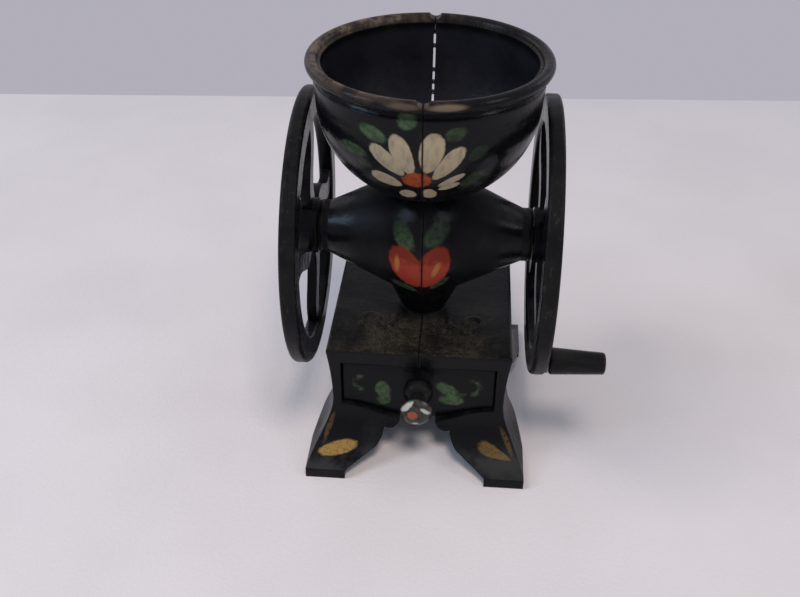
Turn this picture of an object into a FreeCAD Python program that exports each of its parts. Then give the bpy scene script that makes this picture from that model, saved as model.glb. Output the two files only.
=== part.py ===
"""Miniature cast-iron double-wheel coffee mill, each piece a solid of its own in one frame.

Millimetres. X runs along the shaft towards the crank, -Y is the drawer's side, Z is up.
The origin is on the floor, under the middle of the shaft.
"""
import FreeCAD
import Part
import math
import os

V = FreeCAD.Vector
ORIGIN = V(0, 0, 0)
X_AXIS = V(1, 0, 0)
Y_AXIS = V(0, 1, 0)
Z_AXIS = V(0, 0, 1)

# Fits
RUN_GAP = 0.05          # radial, a turning shaft in its hole
SEAT_GAP = 0.02         # radial, a pin, screw or bush that stays put
PASS_GAP = 0.35         # between pieces that move past each other
PIN_SHY = 0.25          # how far a cross pin's ends stay under the skin
SEAM_GAP = 0.08         # between the two castings on the middle plane
CORE_GAP = 1.2          # radial, the cored hole around the shaft between its bearings
OVERCUT = 1.0           # how far a cut runs past the face it opens

# Heights
PLATE_Z = 45.6          # top of the base
AXLE_RISE = 30.4        # shaft above the top of the base
HOPPER_RISE = 64.0      # rim of the hopper above the shaft

# Hopper
BEAD_R = 2.0
BEAD_OUT = 0.85         # middle of the bead past the bowl's edge
COVE_DEPTH = 1.2        # hollow under the bead, behind the band's edge
COVE_H = 4.6
COVE_LOW = 0.45         # share of that height where the hollow is deepest
BAND_H = 6.4
BAND_FLARE = 0.6
BOWL_R = 36.3
BOWL_DEPTH = 34.5
HOPPER_WALL = 2.0
THROAT_R = 4.6
THROAT_X = -6.6
NECK_WALL = 1.2
SLIT_W = 0.8            # the seam where the halves stand apart behind the hopper
SLIT_TOP_LAND = 4.4
SLIT_DROP = 20.5        # how far it runs below the top of the bowl
SLIT_BRIDGES = (0.15, 0.46, 0.61, 0.73)  # shares of the slit's run, from the top, where the halves touch
SLIT_BRIDGE_H = 0.8
NOTCH_R = 2.2           # dip in the rim at both ends of the seam
NOTCH_DEPTH = 1.6

# Mill body and its arms
BULGE_R = 23.0
BULGE_ROUND = 0.1       # share of an arm's length that rounds off the middle
ARM_END_R = 9.2
ARM_COLLAR = 2.6
FUNNEL_FOOT_R = 7.2
FUNNEL_TOP_R = 15.0
FUNNEL_RISE = 16.5

# Bearing bushes
BUSH_WALL = 2.0
BUSH_LENGTH = 9.0
BUSH_FLANGE_R = 9.0
BUSH_FLANGE_T = 0.9

# Base box
PLATE_T = 3.0
PLATE_EDGE = 1.0
BASE_TOP_X = 31.8       # half width of the top
BASE_TOP_Y = 31.4       # half depth of the top
WAIST_X = 30.0
WAIST_Y = 29.8
WAIST_Z = 23.5
SIDE_BOW = 0.35
BASE_WALL = 2.8
TOE_X = 38.3
TOE_Y = 46.3
TOE_T = 3.9
SOLE_X = 5.0            # width of the flat sole along X
SOLE_Y = 8.0            # and along Y
FOOT_IN_X = 24.45       # half of the gap between the front feet
FOOT_IN_Y = 29.0        # half of the gap between the side feet
ARCH_GAP_X = 6.3        # half of the gap in the rail under the drawer
ARCH_CUSP = 11.7
ARCH_CUSP_Z = 13.0
ARCH_CROWN_Z = 17.2     # top of the closed arches at the sides and back
ARCH_LIP = 0.3          # how far the open arch's lobes rise over their cusps
# Points on the base's curves, as shares of the run and the rise between two points above
ARCH_KNEE = (0.2, 0.43)
ARCH_SHIN = (0.05, 0.7)
ARCH_INSTEP = (0.55, 0.21)
ARCH_LOBE = (0.6, 0.55)
ARCH_OPEN_LOBE = (0.3, 1.0)
FLARE_STRAIGHT = (0.3, 0.65, 0.3)
FLARE_HUNG = (0.62, 0.45, 0.12)
FLARE_HANG = (0.3, 1.0)  # between those two: at the sides, and at front and back

# Drawer
STILE_W = 3.0           # casting beside the drawer's opening, at the waist
TOP_RAIL = 6.2          # casting above it
DRAWER_LOW_Z = 20.6     # its lower edge at the ends
DRAWER_DIP = 6.0        # how far that edge drops in the middle
DRAWER_GAP = 0.4
FRONT_INSET = 1.5       # behind the waist of the base
FRONT_T = 2.2
TRAY_T = 0.9
TRAY_HEIGHT = 14.5
TRAY_BACK_GAP = 1.4
RUNNER_T = 2.0
RUNNER_IN = 3.4         # how far a runner reaches under the tray
RIVET_R = 1.0
RIVET_HEAD_R = 1.9
RIVET_HEAD_T = 0.8
RIVET_BITE = 1.4
RIVET_SPACING = 36.0
KNOB_Z = 26.8
KNOB_R = 5.6
KNOB_OUT = 13.4
KNOB_STEM_R = 2.7
KNOB_HEAD_T = 4.4
KNOB_CHEEK = (0.8, 0.16)  # shares of the knob's radius and its head's thickness
KNOB_EDGE = (1.0, 0.5)
KNOB_BROW = (0.76, 0.86)
ROSETTE_R = 5.2
ROSETTE_T = 4.0
ROSETTE_LIP = 1.2
ROSETTE_BROW = 0.82     # share of its radius where the dome is roundest
KNOB_SCREW_R = 1.3
KNOB_SCREW_HEAD_R = 2.7
KNOB_SCREW_HEAD_T = 1.3
KNOB_SCREW_BITE = 5.0

# Flywheels
WHEEL_R = 48.0
WHEEL_CLEAR = 1.5       # between the rims and the widest thing between them
RIM_W = 5.2
RIM_DEPTH = 9.2
RIM_ROUND = 1.3
RIM_SETBACK = 0.95      # inner face of the rim from the hub's inner end
SPOKES = 4
SPOKE_W = 7.6
SPOKE_TIP_W = 6.2
SPOKE_T = 3.4
SPOKE_SWAY = 3.0
SPOKE_ROOT = 2.8        # how far a spoke runs into the hub and into the rim
HUB_R = 9.6
HUB_LENGTH = 6.6
WHEEL_TURN_LEFT = 0.0
WHEEL_TURN_RIGHT = 45.0
WHEEL_PIN_R = 1.0
WHEEL_WASHER_R = 5.6
WHEEL_WASHER_T = 0.6
WHEEL_NUT_ACROSS = 9.0
WHEEL_NUT_T = 2.4

# Shaft
SHAFT_R = 3.0
SHAFT_END_R = 2.5
SHAFT_END_OUT = 0.3     # how far the threaded end stands out of its nut

# Crank
CRANK_TURN = 225.0      # place on the wheel, from +Y towards +Z
CRANK_PIN_R = 2.0
CRANK_WASHER_R = 4.2
CRANK_WASHER_T = 0.5
GRIP_LENGTH = 18.8
GRIP_BUTT_R = 4.6
GRIP_TIP_R = 3.75
GRIP_ROUND = 1.0
CRANK_HEAD_STEP = 0.4   # how much wider the head is than the pin
CRANK_HEAD_T = 1.4
CRANK_HEAD_SUNK = 0.4

# Mill works
WORM_END_GAP = 1.2      # from the worm's end to the turning burr's face
WORM_LENGTH = 12.9
WORM_CORE_R = 4.4
WORM_R = 6.6
WORM_PITCH = 6.6
WORM_FLIGHT_T = 1.8
FEED_GAP = 0.8
BURR_R = 12.0
BURR_T = 3.0
BURR_GAP = 0.6
BURR_GROOVES = 12
BURR_GROOVE_W = 1.2
BURR_GROOVE_DEPTH = 0.7
BURR_HUB_R = 6.0
BURR_HUB_LENGTH = 4.0
FIXED_BURR_X = -3.4
CHAMBER_GAP = 2.2       # around the turning burr
CHUTE_R = 4.2
CHUTE_X = 1.0
WORKS_PIN_R = 0.9
BURR_SCREW_R = 1.0
BURR_SCREW_HEAD_R = 1.8
BURR_SCREW_BITE = 2.4

# Screws that tie the halves
TIE_R = 1.5
TIE_HEAD_R = 2.9
TIE_HEAD_T = 1.8
TIE_NUT_ACROSS = 5.6
TIE_NUT_T = 2.4
TIE_END_OUT = 0.8
TIE_WALL = 2.6          # casting around the screws
BODY_TIE_TURN = -20.0   # place behind the body, from +Y towards +Z
BODY_BOSS_X = 13.5
BODY_SPOT_X = 8.0       # room cut along the body for the upper screw's head and nut
BASE_LUG_X = 6.0
BASE_LUG_H = 8.0

# Relief on the base's top
SCROLL_R = 6.0
SCROLL_TURN = 200.0     # how far the bow turns
SCROLL_CURL_TURN = 240.0
SCROLL_START_TURN = 160.0
SCROLL_CURL_R = 3.0
SCROLL_TUBE_R = 1.3
SCROLL_SINK = 0.6
SCROLL_X = 15.5
SCROLL_Y = -11.0


def mirror_x(shape):
    return shape.mirror(ORIGIN, X_AXIS)


def on_side(shape, side):
    """The shape as drawn on the right, or mirrored to the left."""
    return shape if side > 0 else mirror_x(shape)


def side_name(side):
    return "right" if side > 0 else "left"


# Places worked out from the values above
axle_z = PLATE_Z + AXLE_RISE
hopper_top_z = axle_z + HOPPER_RISE
bead_z = hopper_top_z - BEAD_R
band_z = bead_z - COVE_H
bowl_top_z = band_z - BAND_H
band_r = BOWL_R + BAND_FLARE
bead_ring_r = BOWL_R + BEAD_OUT
mouth_r = min(band_r - COVE_DEPTH, BOWL_R) - HOPPER_WALL + COVE_DEPTH / 2
neck_r = abs(THROAT_X) + THROAT_R + NECK_WALL

rim_in_x = max(BOWL_R, BASE_TOP_X) + WHEEL_CLEAR
rim_out_x = rim_in_x + RIM_W
rim_mid_r = WHEEL_R - RIM_DEPTH / 2
rim_in_r = WHEEL_R - RIM_DEPTH
hub_in_x = rim_in_x - RIM_SETBACK
hub_out_x = hub_in_x + HUB_LENGTH
arm_end_x = hub_in_x - PASS_GAP - BUSH_FLANGE_T
wheel_pin_x = (hub_in_x + hub_out_x) / 2
wheel_nut_x = hub_out_x + WHEEL_WASHER_T
shaft_end_x = wheel_nut_x + WHEEL_NUT_T + SHAFT_END_OUT
bush_r = SHAFT_R + BUSH_WALL

crank_angle = math.radians(CRANK_TURN)
crank_y = rim_mid_r * math.cos(crank_angle)
crank_z = axle_z + rim_mid_r * math.sin(crank_angle)
crank_head_r = CRANK_PIN_R + CRANK_HEAD_STEP
grip_x = rim_out_x + CRANK_WASHER_T + PASS_GAP
grip_end_x = grip_x + GRIP_LENGTH
crank_head_x = grip_end_x - CRANK_HEAD_SUNK

fixed_burr_face_x = FIXED_BURR_X + BURR_T
turning_burr_x = fixed_burr_face_x + BURR_GAP
burr_hub_x = turning_burr_x + BURR_T
chamber_end_x = burr_hub_x + BURR_HUB_LENGTH + BURR_GAP
chamber_r = BURR_R + CHAMBER_GAP
burr_eye_r = WORM_R + BURR_GAP
burr_screw_ring_r = (burr_eye_r + BURR_R) / 2
burr_pin_x = burr_hub_x + BURR_HUB_LENGTH / 2
worm_end_x = turning_burr_x - WORM_END_GAP
worm_x = worm_end_x - WORM_LENGTH
worm_pin_x = worm_x + WORM_FLIGHT_T
feed_r = WORM_R + FEED_GAP

drawer_hole_x = WAIST_X - STILE_W
drawer_high_z = PLATE_Z - TOP_RAIL
front_y = -(WAIST_Y - FRONT_INSET)
front_half_x = drawer_hole_x - DRAWER_GAP
tray_front_y = front_y + FRONT_T
tray_low_z = DRAWER_LOW_Z + DRAWER_GAP
tray_top_z = tray_low_z + TRAY_HEIGHT
runner_top_z = tray_low_z - PASS_GAP

tie_nut_corner = TIE_NUT_ACROSS / math.sqrt(3)
body_tie_r = chamber_r + TIE_WALL + TIE_R
body_tie_y = body_tie_r * math.cos(math.radians(BODY_TIE_TURN))
body_tie_z = axle_z + body_tie_r * math.sin(math.radians(BODY_TIE_TURN))
lug_in = TIE_R + TIE_WALL
tie_spot_r = max(tie_nut_corner, TIE_HEAD_R) + PASS_GAP
base_tie_y = WAIST_Y - BASE_WALL - tie_spot_r
base_tie_z = PLATE_Z - PLATE_T - BASE_LUG_H / 2
tray_back_y = base_tie_y - max(tie_spot_r, lug_in) - TRAY_BACK_GAP


def wire_of(edges):
    return Part.Wire(Part.__sortEdges__(edges))


def line(a, b):
    return Part.makeLine(a, b)


def arc(a, through, b):
    return Part.Arc(a, through, b).toShape()


def spline(points):
    curve = Part.BSplineCurve()
    curve.interpolate(points)
    return curve.toShape()


def bezier(poles):
    curve = Part.BezierCurve()
    curve.setPoles(poles)
    return curve.toShape()


def turned(edges, axis, centre=ORIGIN):
    """The solid that a closed outline sweeps in a full turn."""
    return Part.Face(wire_of(edges)).revolve(centre, axis, 360)


def polygon(points):
    return [line(a, b) for a, b in zip(points, points[1:] + points[:1])]


def rod_x(radius, x0, x1, y=0.0, z=axle_z):
    return Part.makeCylinder(radius, x1 - x0, V(x0, y, z), X_AXIS)


def rod_y(radius, y0, y1, x, z):
    return Part.makeCylinder(radius, y1 - y0, V(x, y0, z), Y_AXIS)


def rod_z(radius, z0, z1, x):
    return Part.makeCylinder(radius, z1 - z0, V(x, 0, z0), Z_AXIS)


def block(x0, x1, y0, y1, z0, z1):
    return Part.makeBox(x1 - x0, y1 - y0, z1 - z0, V(x0, y0, z0))


def hex_x(across, x0, x1, y=0.0, z=axle_z):
    """A hexagon with two flats level, drawn out along X."""
    corner = across / math.sqrt(3)
    points = []
    for k in range(6):
        a = math.radians(60 * k)
        points.append(V(x0, y + corner * math.cos(a), z + corner * math.sin(a)))
    return Part.Face(wire_of(polygon(points))).extrude(V(x1 - x0, 0, 0))


def cross_pin(x, radius, half_length, turn):
    """A pin across the shaft, turned about it from +Y towards +Z."""
    pin = rod_y(radius, -half_length, half_length, x, axle_z)
    pin.rotate(V(0, 0, axle_z), X_AXIS, turn)
    return pin


# Hopper

def bowl_solid(radius, depth):
    """A half ellipsoid that hangs from the top of the bowl."""
    steps = 8
    outline = []
    for k in range(steps + 1):
        a = math.pi / 2 * k / steps
        outline.append(V(radius * math.cos(a), 0, bowl_top_z - depth * math.sin(a)))
    middle = V(0, 0, bowl_top_z)
    return turned([spline(outline), line(outline[-1], middle), line(middle, outline[0])], Z_AXIS)


def hopper_outside():
    """The bowl, the band above it, the hollow under the rim and the bead of the rim."""
    low = V(BOWL_R, 0, bowl_top_z)
    edge = V(band_r, 0, band_z)
    top = V(bead_ring_r, 0, bead_z)
    hollow = V(band_r - COVE_DEPTH, 0, band_z + COVE_H * COVE_LOW)
    band = turned(
        [
            line(low, edge),
            arc(edge, hollow, top),
            line(top, V(0, 0, bead_z)),
            line(V(0, 0, bead_z), V(0, 0, bowl_top_z)),
            line(V(0, 0, bowl_top_z), low),
        ],
        Z_AXIS,
    )
    bead = Part.makeTorus(bead_ring_r, BEAD_R, V(0, 0, bead_z), Z_AXIS)
    neck = rod_z(neck_r, axle_z, bowl_top_z - BOWL_DEPTH / 2, 0)
    return band.fuse([bead, bowl_solid(BOWL_R, BOWL_DEPTH), neck])


def hopper_inside():
    """The bowl's hollow, its straight mouth and the throat over the worm."""
    inner_r = BOWL_R - HOPPER_WALL
    lip_r = bead_ring_r - BEAD_R / 2
    top_z = hopper_top_z + OVERCUT
    wall = turned(
        polygon([
            V(0, 0, bowl_top_z), V(inner_r, 0, bowl_top_z), V(mouth_r, 0, band_z),
            V(mouth_r, 0, bead_z), V(lip_r, 0, top_z), V(0, 0, top_z),
        ]),
        Z_AXIS,
    )
    bowl = bowl_solid(inner_r, BOWL_DEPTH - HOPPER_WALL)
    throat = rod_z(THROAT_R, axle_z, bowl_top_z - BOWL_DEPTH / 2, THROAT_X)
    return bowl.fuse([wall, throat])


def seam_openings():
    """The open seam behind the hopper, the bridges left across it and the dips in the rim."""
    high = bead_z - SLIT_TOP_LAND
    low = bowl_top_z - SLIT_DROP
    reach = bead_ring_r + 2 * BEAD_R
    cuts = []
    top = high
    for share in (*SLIT_BRIDGES, 1.0):
        bridge_z = high - share * (high - low)
        cuts.append(block(-SLIT_W / 2, SLIT_W / 2, neck_r, reach, bridge_z, top))
        top = bridge_z - SLIT_BRIDGE_H
    cuts.append(rod_y(NOTCH_R, -reach, reach, 0, hopper_top_z + NOTCH_R - NOTCH_DEPTH))
    return cuts


# Mill body

def arm_radius(x, reach):
    """Radius about the shaft: two cones, base to base, with their edge rounded off."""
    share = abs(x) / reach
    run = math.hypot(share, BULGE_ROUND) - BULGE_ROUND
    full = math.hypot(1, BULGE_ROUND) - BULGE_ROUND
    return BULGE_R + (ARM_END_R - BULGE_R) * run / full


def mill_body_outside():
    """The double cone with its arms, the funnel down to the base and the boss for the tie screw."""
    reach = arm_end_x - ARM_COLLAR
    steps = 14
    outline = []
    for k in range(steps + 1):
        x = reach * (2 * k / steps - 1)
        outline.append(V(x, 0, axle_z + arm_radius(x, reach)))
    left_end = V(-arm_end_x, 0, axle_z)
    right_end = V(arm_end_x, 0, axle_z)
    left_edge = V(-arm_end_x, 0, axle_z + ARM_END_R)
    right_edge = V(arm_end_x, 0, axle_z + ARM_END_R)
    body = turned(
        [
            line(left_end, left_edge),
            line(left_edge, outline[0]),
            spline(outline),
            line(outline[-1], right_edge),
            line(right_edge, right_end),
            line(right_end, left_end),
        ],
        X_AXIS,
        V(0, 0, axle_z),
    )
    foot_z = PLATE_Z - PLATE_T / 2
    funnel = Part.makeCone(FUNNEL_FOOT_R, FUNNEL_TOP_R, FUNNEL_RISE + PLATE_T / 2, V(0, 0, foot_z), Z_AXIS)
    boss = rod_x(TIE_R + TIE_WALL, -BODY_BOSS_X, BODY_BOSS_X, body_tie_y, body_tie_z)
    return body.fuse([funnel, boss])


def mill_body_inside():
    """Feed chamber, burr seat, grinding chamber, chute, bearing seats and the holes for shaft and screws."""
    cuts = [
        rod_x(SHAFT_R + CORE_GAP, -arm_end_x, arm_end_x),
        rod_x(feed_r, worm_x - FEED_GAP, FIXED_BURR_X),
        rod_x(BURR_R + SEAT_GAP, FIXED_BURR_X, fixed_burr_face_x),
        rod_x(chamber_r, fixed_burr_face_x, chamber_end_x),
        rod_z(CHUTE_R, PLATE_Z - 2 * PLATE_T, axle_z, CHUTE_X),
        rod_x(TIE_R + SEAT_GAP, -BODY_BOSS_X - OVERCUT, BODY_BOSS_X + OVERCUT, body_tie_y, body_tie_z),
    ]
    for y, z in burr_screw_places():
        cuts.append(rod_x(BURR_SCREW_R + SEAT_GAP, FIXED_BURR_X - BURR_SCREW_BITE, FIXED_BURR_X, y, z))
    spot = rod_x(tie_spot_r, BODY_BOSS_X, BODY_BOSS_X + BODY_SPOT_X, body_tie_y, body_tie_z)
    seat = rod_x(bush_r + SEAT_GAP, arm_end_x - BUSH_LENGTH, arm_end_x + OVERCUT)
    for side in (-1, 1):
        cuts.append(on_side(spot, side))
        cuts.append(on_side(seat, side))
    return cuts[0].fuse(cuts[1:])


# Base

def base_profile(top, waist, toe, top_z, toe_z, edge, floor_z, hang):
    """Half outline in (distance out, height), from the top's edge to the floor.

    hang is how deep the flare over the foot is hollowed: 0 is a straight slope.
    """
    leave, run, land = (a + (b - a) * hang for a, b in zip(FLARE_STRAIGHT, FLARE_HUNG))
    drop = WAIST_Z - toe_z
    out = toe - waist
    brow_z = top_z - edge
    return {
        "shoulder": (top - edge, top_z),
        "bend": (top - edge * (1 - math.sqrt(0.5)), top_z - edge * (1 - math.sqrt(0.5))),
        "brow": (top, brow_z),
        "mid": ((top + waist) / 2 - SIDE_BOW, (brow_z + WAIST_Z) / 2),
        "waist": (waist, WAIST_Z),
        "pull_low": (waist, WAIST_Z - leave * drop),
        "pull_out": (waist + run * out, toe_z + land * drop),
        "toe": (toe, toe_z),
        "floor": (toe, floor_z),
    }


def profile_slab(points, place, run):
    """Draw the outline on both sides of the middle plane and extrude it along run."""
    edges = []
    for side in (-1, 1):
        p = {name: place(side * at[0], at[1]) for name, at in points.items()}
        if p["shoulder"].distanceToPoint(p["brow"]) > 0:
            edges.append(arc(p["shoulder"], p["bend"], p["brow"]))
        edges.append(arc(p["brow"], p["mid"], p["waist"]))
        edges.append(bezier([p["waist"], p["pull_low"], p["pull_out"], p["toe"]]))
        edges.append(line(p["toe"], p["floor"]))
    for level in ("shoulder", "floor"):
        out, z = points[level]
        edges.append(line(place(-out, z), place(out, z)))
    return Part.Face(wire_of(edges)).extrude(run)


def base_block(wall, top_z, toe_z, sole_x, sole_y, edge, floor_z):
    """The base as the common part of its front outline and its side outline."""
    across = base_profile(
        BASE_TOP_X - wall, WAIST_X - wall, TOE_X - sole_x, top_z, toe_z, edge, floor_z, FLARE_HANG[0]
    )
    along = base_profile(
        BASE_TOP_Y - wall, WAIST_Y - wall, TOE_Y - sole_y, top_z, toe_z, edge, floor_z, FLARE_HANG[1]
    )
    reach = 2 * max(TOE_X, TOE_Y)
    front = profile_slab(across, lambda a, z: V(a, -reach / 2, z), V(0, reach, 0))
    side = profile_slab(along, lambda a, z: V(-reach / 2, a, z), V(reach, 0, 0))
    return front.common(side)


def rail_z(x):
    """Lower edge of the drawer's opening: a bell that hangs in the middle."""
    return DRAWER_LOW_Z - DRAWER_DIP * 0.5 * (1 + math.cos(math.pi * x / drawer_hole_x))


def rail_edge(half_x, y, lift):
    steps = 12
    points = []
    for k in range(steps + 1):
        x = half_x * (2 * k / steps - 1)
        points.append(V(x, y, rail_z(x) + lift))
    return points


def arch_face(place, foot_in, closed):
    """An arch between two feet: a lobe, a cusp and a long curve down to each toe."""
    edges = []
    span = foot_in - ARCH_CUSP
    rise = ARCH_CUSP_Z - TOE_T
    knee, shin, instep = (
        (ARCH_CUSP + share[0] * span, TOE_T + share[1] * rise) for share in (ARCH_KNEE, ARCH_SHIN, ARCH_INSTEP)
    )
    if closed:
        crown = (0.0, ARCH_CROWN_Z)
        lobe = (ARCH_LOBE[0] * ARCH_CUSP, ARCH_CUSP_Z + ARCH_LOBE[1] * (ARCH_CROWN_Z - ARCH_CUSP_Z))
    else:
        crown = (ARCH_GAP_X, rail_z(ARCH_GAP_X))
        lobe = (
            ARCH_GAP_X + ARCH_OPEN_LOBE[0] * (ARCH_CUSP - ARCH_GAP_X),
            ARCH_CUSP_Z + ARCH_OPEN_LOBE[1] * ARCH_LIP,
        )
    for side in (-1, 1):
        def at(point):
            return place(side * point[0], point[1])

        cusp = at((ARCH_CUSP, ARCH_CUSP_Z))
        edges.append(arc(at(crown), at(lobe), cusp))
        edges.append(arc(cusp, at(shin), at(knee)))
        edges.append(arc(at(knee), at(instep), at((foot_in, TOE_T))))
        edges.append(line(at((foot_in, TOE_T)), at((foot_in, -OVERCUT))))
    edges.append(line(place(-foot_in, -OVERCUT), place(foot_in, -OVERCUT)))
    if not closed:
        edges.append(line(place(-crown[0], crown[1]), place(crown[0], crown[1])))
    return Part.Face(wire_of(edges))


def base_cuts():
    """The drawer's opening, the arch under it and the closed arches on the other three sides."""
    reach = 2 * TOE_Y
    near = WAIST_Y - 3 * BASE_WALL
    low = rail_edge(drawer_hole_x, -reach, 0)
    high_left = V(-drawer_hole_x, -reach, drawer_high_z)
    high_right = V(drawer_hole_x, -reach, drawer_high_z)
    opening = Part.Face(wire_of([
        spline(low), line(low[-1], high_right), line(high_right, high_left), line(high_left, low[0])
    ]))
    run = V(0, reach - near, 0)
    return [
        opening.extrude(run),
        arch_face(lambda a, z: V(a, -reach, z), FOOT_IN_X, False).extrude(run),
        arch_face(lambda a, z: V(a, reach, z), FOOT_IN_X, True).extrude(-run),
        arch_face(lambda a, z: V(-reach, a, z), FOOT_IN_Y, True).extrude(V(2 * reach, 0, 0)),
    ]


def runner(side):
    """The ledge inside a side wall that the drawer slides on."""
    depth = WAIST_Y - BASE_WALL / 2
    ledge = block(
        front_half_x - RUNNER_IN, WAIST_X - BASE_WALL / 2, -depth, depth,
        runner_top_z - RUNNER_T, runner_top_z,
    )
    return on_side(ledge, side)


def base_lug():
    """The block inside the back of the base that the lower tie screw runs through."""
    return block(
        -BASE_LUG_X, BASE_LUG_X, base_tie_y - lug_in, WAIST_Y - BASE_WALL / 2,
        base_tie_z - BASE_LUG_H / 2, PLATE_Z - PLATE_T / 2,
    )


def scroll(side):
    """A scroll in low relief on the base's top: a wide bow with a tight curl at its outer end."""
    z = PLATE_Z - SCROLL_SINK
    bow = Part.makeTorus(SCROLL_R, SCROLL_TUBE_R, V(0, 0, z), Z_AXIS, -180, 180, SCROLL_TURN)
    curl = Part.makeTorus(SCROLL_CURL_R, SCROLL_TUBE_R, V(0, 0, z), Z_AXIS, -180, 180, SCROLL_CURL_TURN)
    bow.rotate(V(0, 0, z), Z_AXIS, SCROLL_START_TURN)
    end_turn = SCROLL_START_TURN - 180
    curl.rotate(V(0, 0, z), Z_AXIS, end_turn)
    end = math.radians(end_turn)
    step = SCROLL_R - SCROLL_CURL_R
    curl.translate(V(step * math.cos(end), step * math.sin(end), 0))
    shape = bow.fuse(curl)
    shape.translate(V(SCROLL_X, SCROLL_Y, 0))
    return on_side(shape, side)


def base_solid():
    outside = base_block(0.0, PLATE_Z, TOE_T, 0.0, 0.0, PLATE_EDGE, 0.0)
    inside = base_block(BASE_WALL, PLATE_Z - PLATE_T, 0.0, SOLE_X, SOLE_Y, 0.0, -OVERCUT)
    shell = outside.cut(inside).cut(base_cuts())
    shell = shell.fuse([runner(-1), runner(1), base_lug()])
    bolt = rod_x(TIE_R + SEAT_GAP, -2 * BASE_LUG_X, 2 * BASE_LUG_X, base_tie_y, base_tie_z)
    return shell.cut(bolt)


def castings():
    """The whole body, cut in two on the seam."""
    whole = mill_body_outside().fuse([hopper_outside(), base_solid()])
    whole = whole.cut([hopper_inside(), mill_body_inside()])
    whole = whole.fuse([scroll(-1), scroll(1)])
    whole = whole.cut(seam_openings()).removeSplitter()
    far = 2 * TOE_Y
    right_side = block(SEAM_GAP / 2, far, -far, far, -OVERCUT, hopper_top_z + OVERCUT)
    shapes = {}
    for side in (-1, 1):
        shapes[side_name(side) + "_casting"] = whole.common(on_side(right_side, side))
    return shapes


# Screws that tie the halves

def tie_screw(y, z, half_grip):
    """A slotted screw with its head on the left."""
    head_x = -half_grip - TIE_HEAD_T
    slot_w = TIE_HEAD_T / 2
    head = rod_x(TIE_HEAD_R, head_x, -half_grip, y, z)
    slot = block(
        head_x - OVERCUT, head_x + TIE_HEAD_T / 2, y - 2 * TIE_HEAD_R, y + 2 * TIE_HEAD_R,
        z - slot_w / 2, z + slot_w / 2,
    )
    shank = rod_x(TIE_R, -half_grip, half_grip + TIE_NUT_T + TIE_END_OUT, y, z)
    return head.cut(slot).fuse(shank).removeSplitter()


def tie_nut(y, z, half_grip):
    end_x = half_grip + TIE_NUT_T
    nut = hex_x(TIE_NUT_ACROSS, half_grip, end_x, y, z)
    return nut.cut(rod_x(TIE_R + SEAT_GAP, half_grip - OVERCUT, end_x + OVERCUT, y, z))


# Shaft and bearings

def main_shaft():
    shaft = rod_x(SHAFT_R, -hub_out_x, hub_out_x)
    shaft = shaft.fuse(rod_x(SHAFT_END_R, -shaft_end_x, shaft_end_x)).removeSplitter()
    holes = []
    for pin_x in (worm_pin_x, burr_pin_x):
        holes.append(cross_pin(pin_x, WORKS_PIN_R + SEAT_GAP, 2 * SHAFT_R, 0))
    for side in (-1, 1):
        holes.append(cross_pin(side * wheel_pin_x, WHEEL_PIN_R + SEAT_GAP, 2 * SHAFT_R, wheel_pin_turn(side)))
    return shaft.cut(holes)


def bush(side):
    """A flanged bearing in an arm's end."""
    in_x = arm_end_x - BUSH_LENGTH
    out_x = arm_end_x + BUSH_FLANGE_T
    shape = rod_x(bush_r, in_x, arm_end_x).fuse(rod_x(BUSH_FLANGE_R, arm_end_x, out_x))
    shape = shape.cut(rod_x(SHAFT_R + RUN_GAP, in_x - OVERCUT, out_x + OVERCUT)).removeSplitter()
    return on_side(shape, side)


# Flywheels

def wheel_turn(side):
    return WHEEL_TURN_RIGHT if side > 0 else WHEEL_TURN_LEFT


def wheel_pin_turn(side):
    """The pin lies halfway between two spokes."""
    return wheel_turn(side) + 180 / SPOKES


def spoke(x0, x1):
    """One curved spoke along +Y, from inside the hub to inside the rim."""
    start = HUB_R - SPOKE_ROOT
    end = rim_in_r + SPOKE_ROOT
    steps = 8
    edges = []
    rows = {}
    for side in (-1, 1):
        row = []
        for k in range(steps + 1):
            t = k / steps
            sway = SPOKE_SWAY * math.sin(2 * math.pi * t)
            half = (SPOKE_W + (SPOKE_TIP_W - SPOKE_W) * t) / 2
            row.append(V(x0, start + (end - start) * t, axle_z + sway + side * half))
        rows[side] = row
        edges.append(spline(row))
    edges.append(line(rows[-1][0], rows[1][0]))
    edges.append(line(rows[-1][-1], rows[1][-1]))
    return Part.Face(wire_of(edges)).extrude(V(x1 - x0, 0, 0))


def wheel_rim():
    rim = rod_x(WHEEL_R, rim_in_x, rim_out_x)
    rim = rim.cut(rod_x(rim_in_r, rim_in_x - OVERCUT, rim_out_x + OVERCUT))
    return rim.makeFillet(RIM_ROUND, [e for e in rim.Edges if e.Curve.TypeId == "Part::GeomCircle"])


def wheel(side):
    """Rim, hub and curved spokes in one casting, with the holes for shaft, pin and crank."""
    mid_x = (rim_in_x + rim_out_x) / 2
    pieces = [rod_x(HUB_R, hub_in_x, hub_out_x)]
    for k in range(SPOKES):
        arm = spoke(mid_x - SPOKE_T / 2, mid_x + SPOKE_T / 2)
        arm.rotate(V(0, 0, axle_z), X_AXIS, wheel_turn(side) + 360 * k / SPOKES)
        pieces.append(arm)
    shape = wheel_rim().fuse(pieces).removeSplitter()
    holes = [
        rod_x(SHAFT_R + SEAT_GAP, hub_in_x - OVERCUT, hub_out_x + OVERCUT),
        cross_pin(wheel_pin_x, WHEEL_PIN_R + SEAT_GAP, 2 * HUB_R, wheel_pin_turn(side)),
    ]
    if side > 0:
        holes.append(rod_x(CRANK_PIN_R + SEAT_GAP, rim_in_x - OVERCUT, rim_out_x + OVERCUT, crank_y, crank_z))
    return on_side(shape.cut(holes), side)


def wheel_pin(side):
    """A pin through hub and shaft, a little short of the hub's skin at both ends."""
    return cross_pin(side * wheel_pin_x, WHEEL_PIN_R, HUB_R - PIN_SHY, wheel_pin_turn(side))


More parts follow.
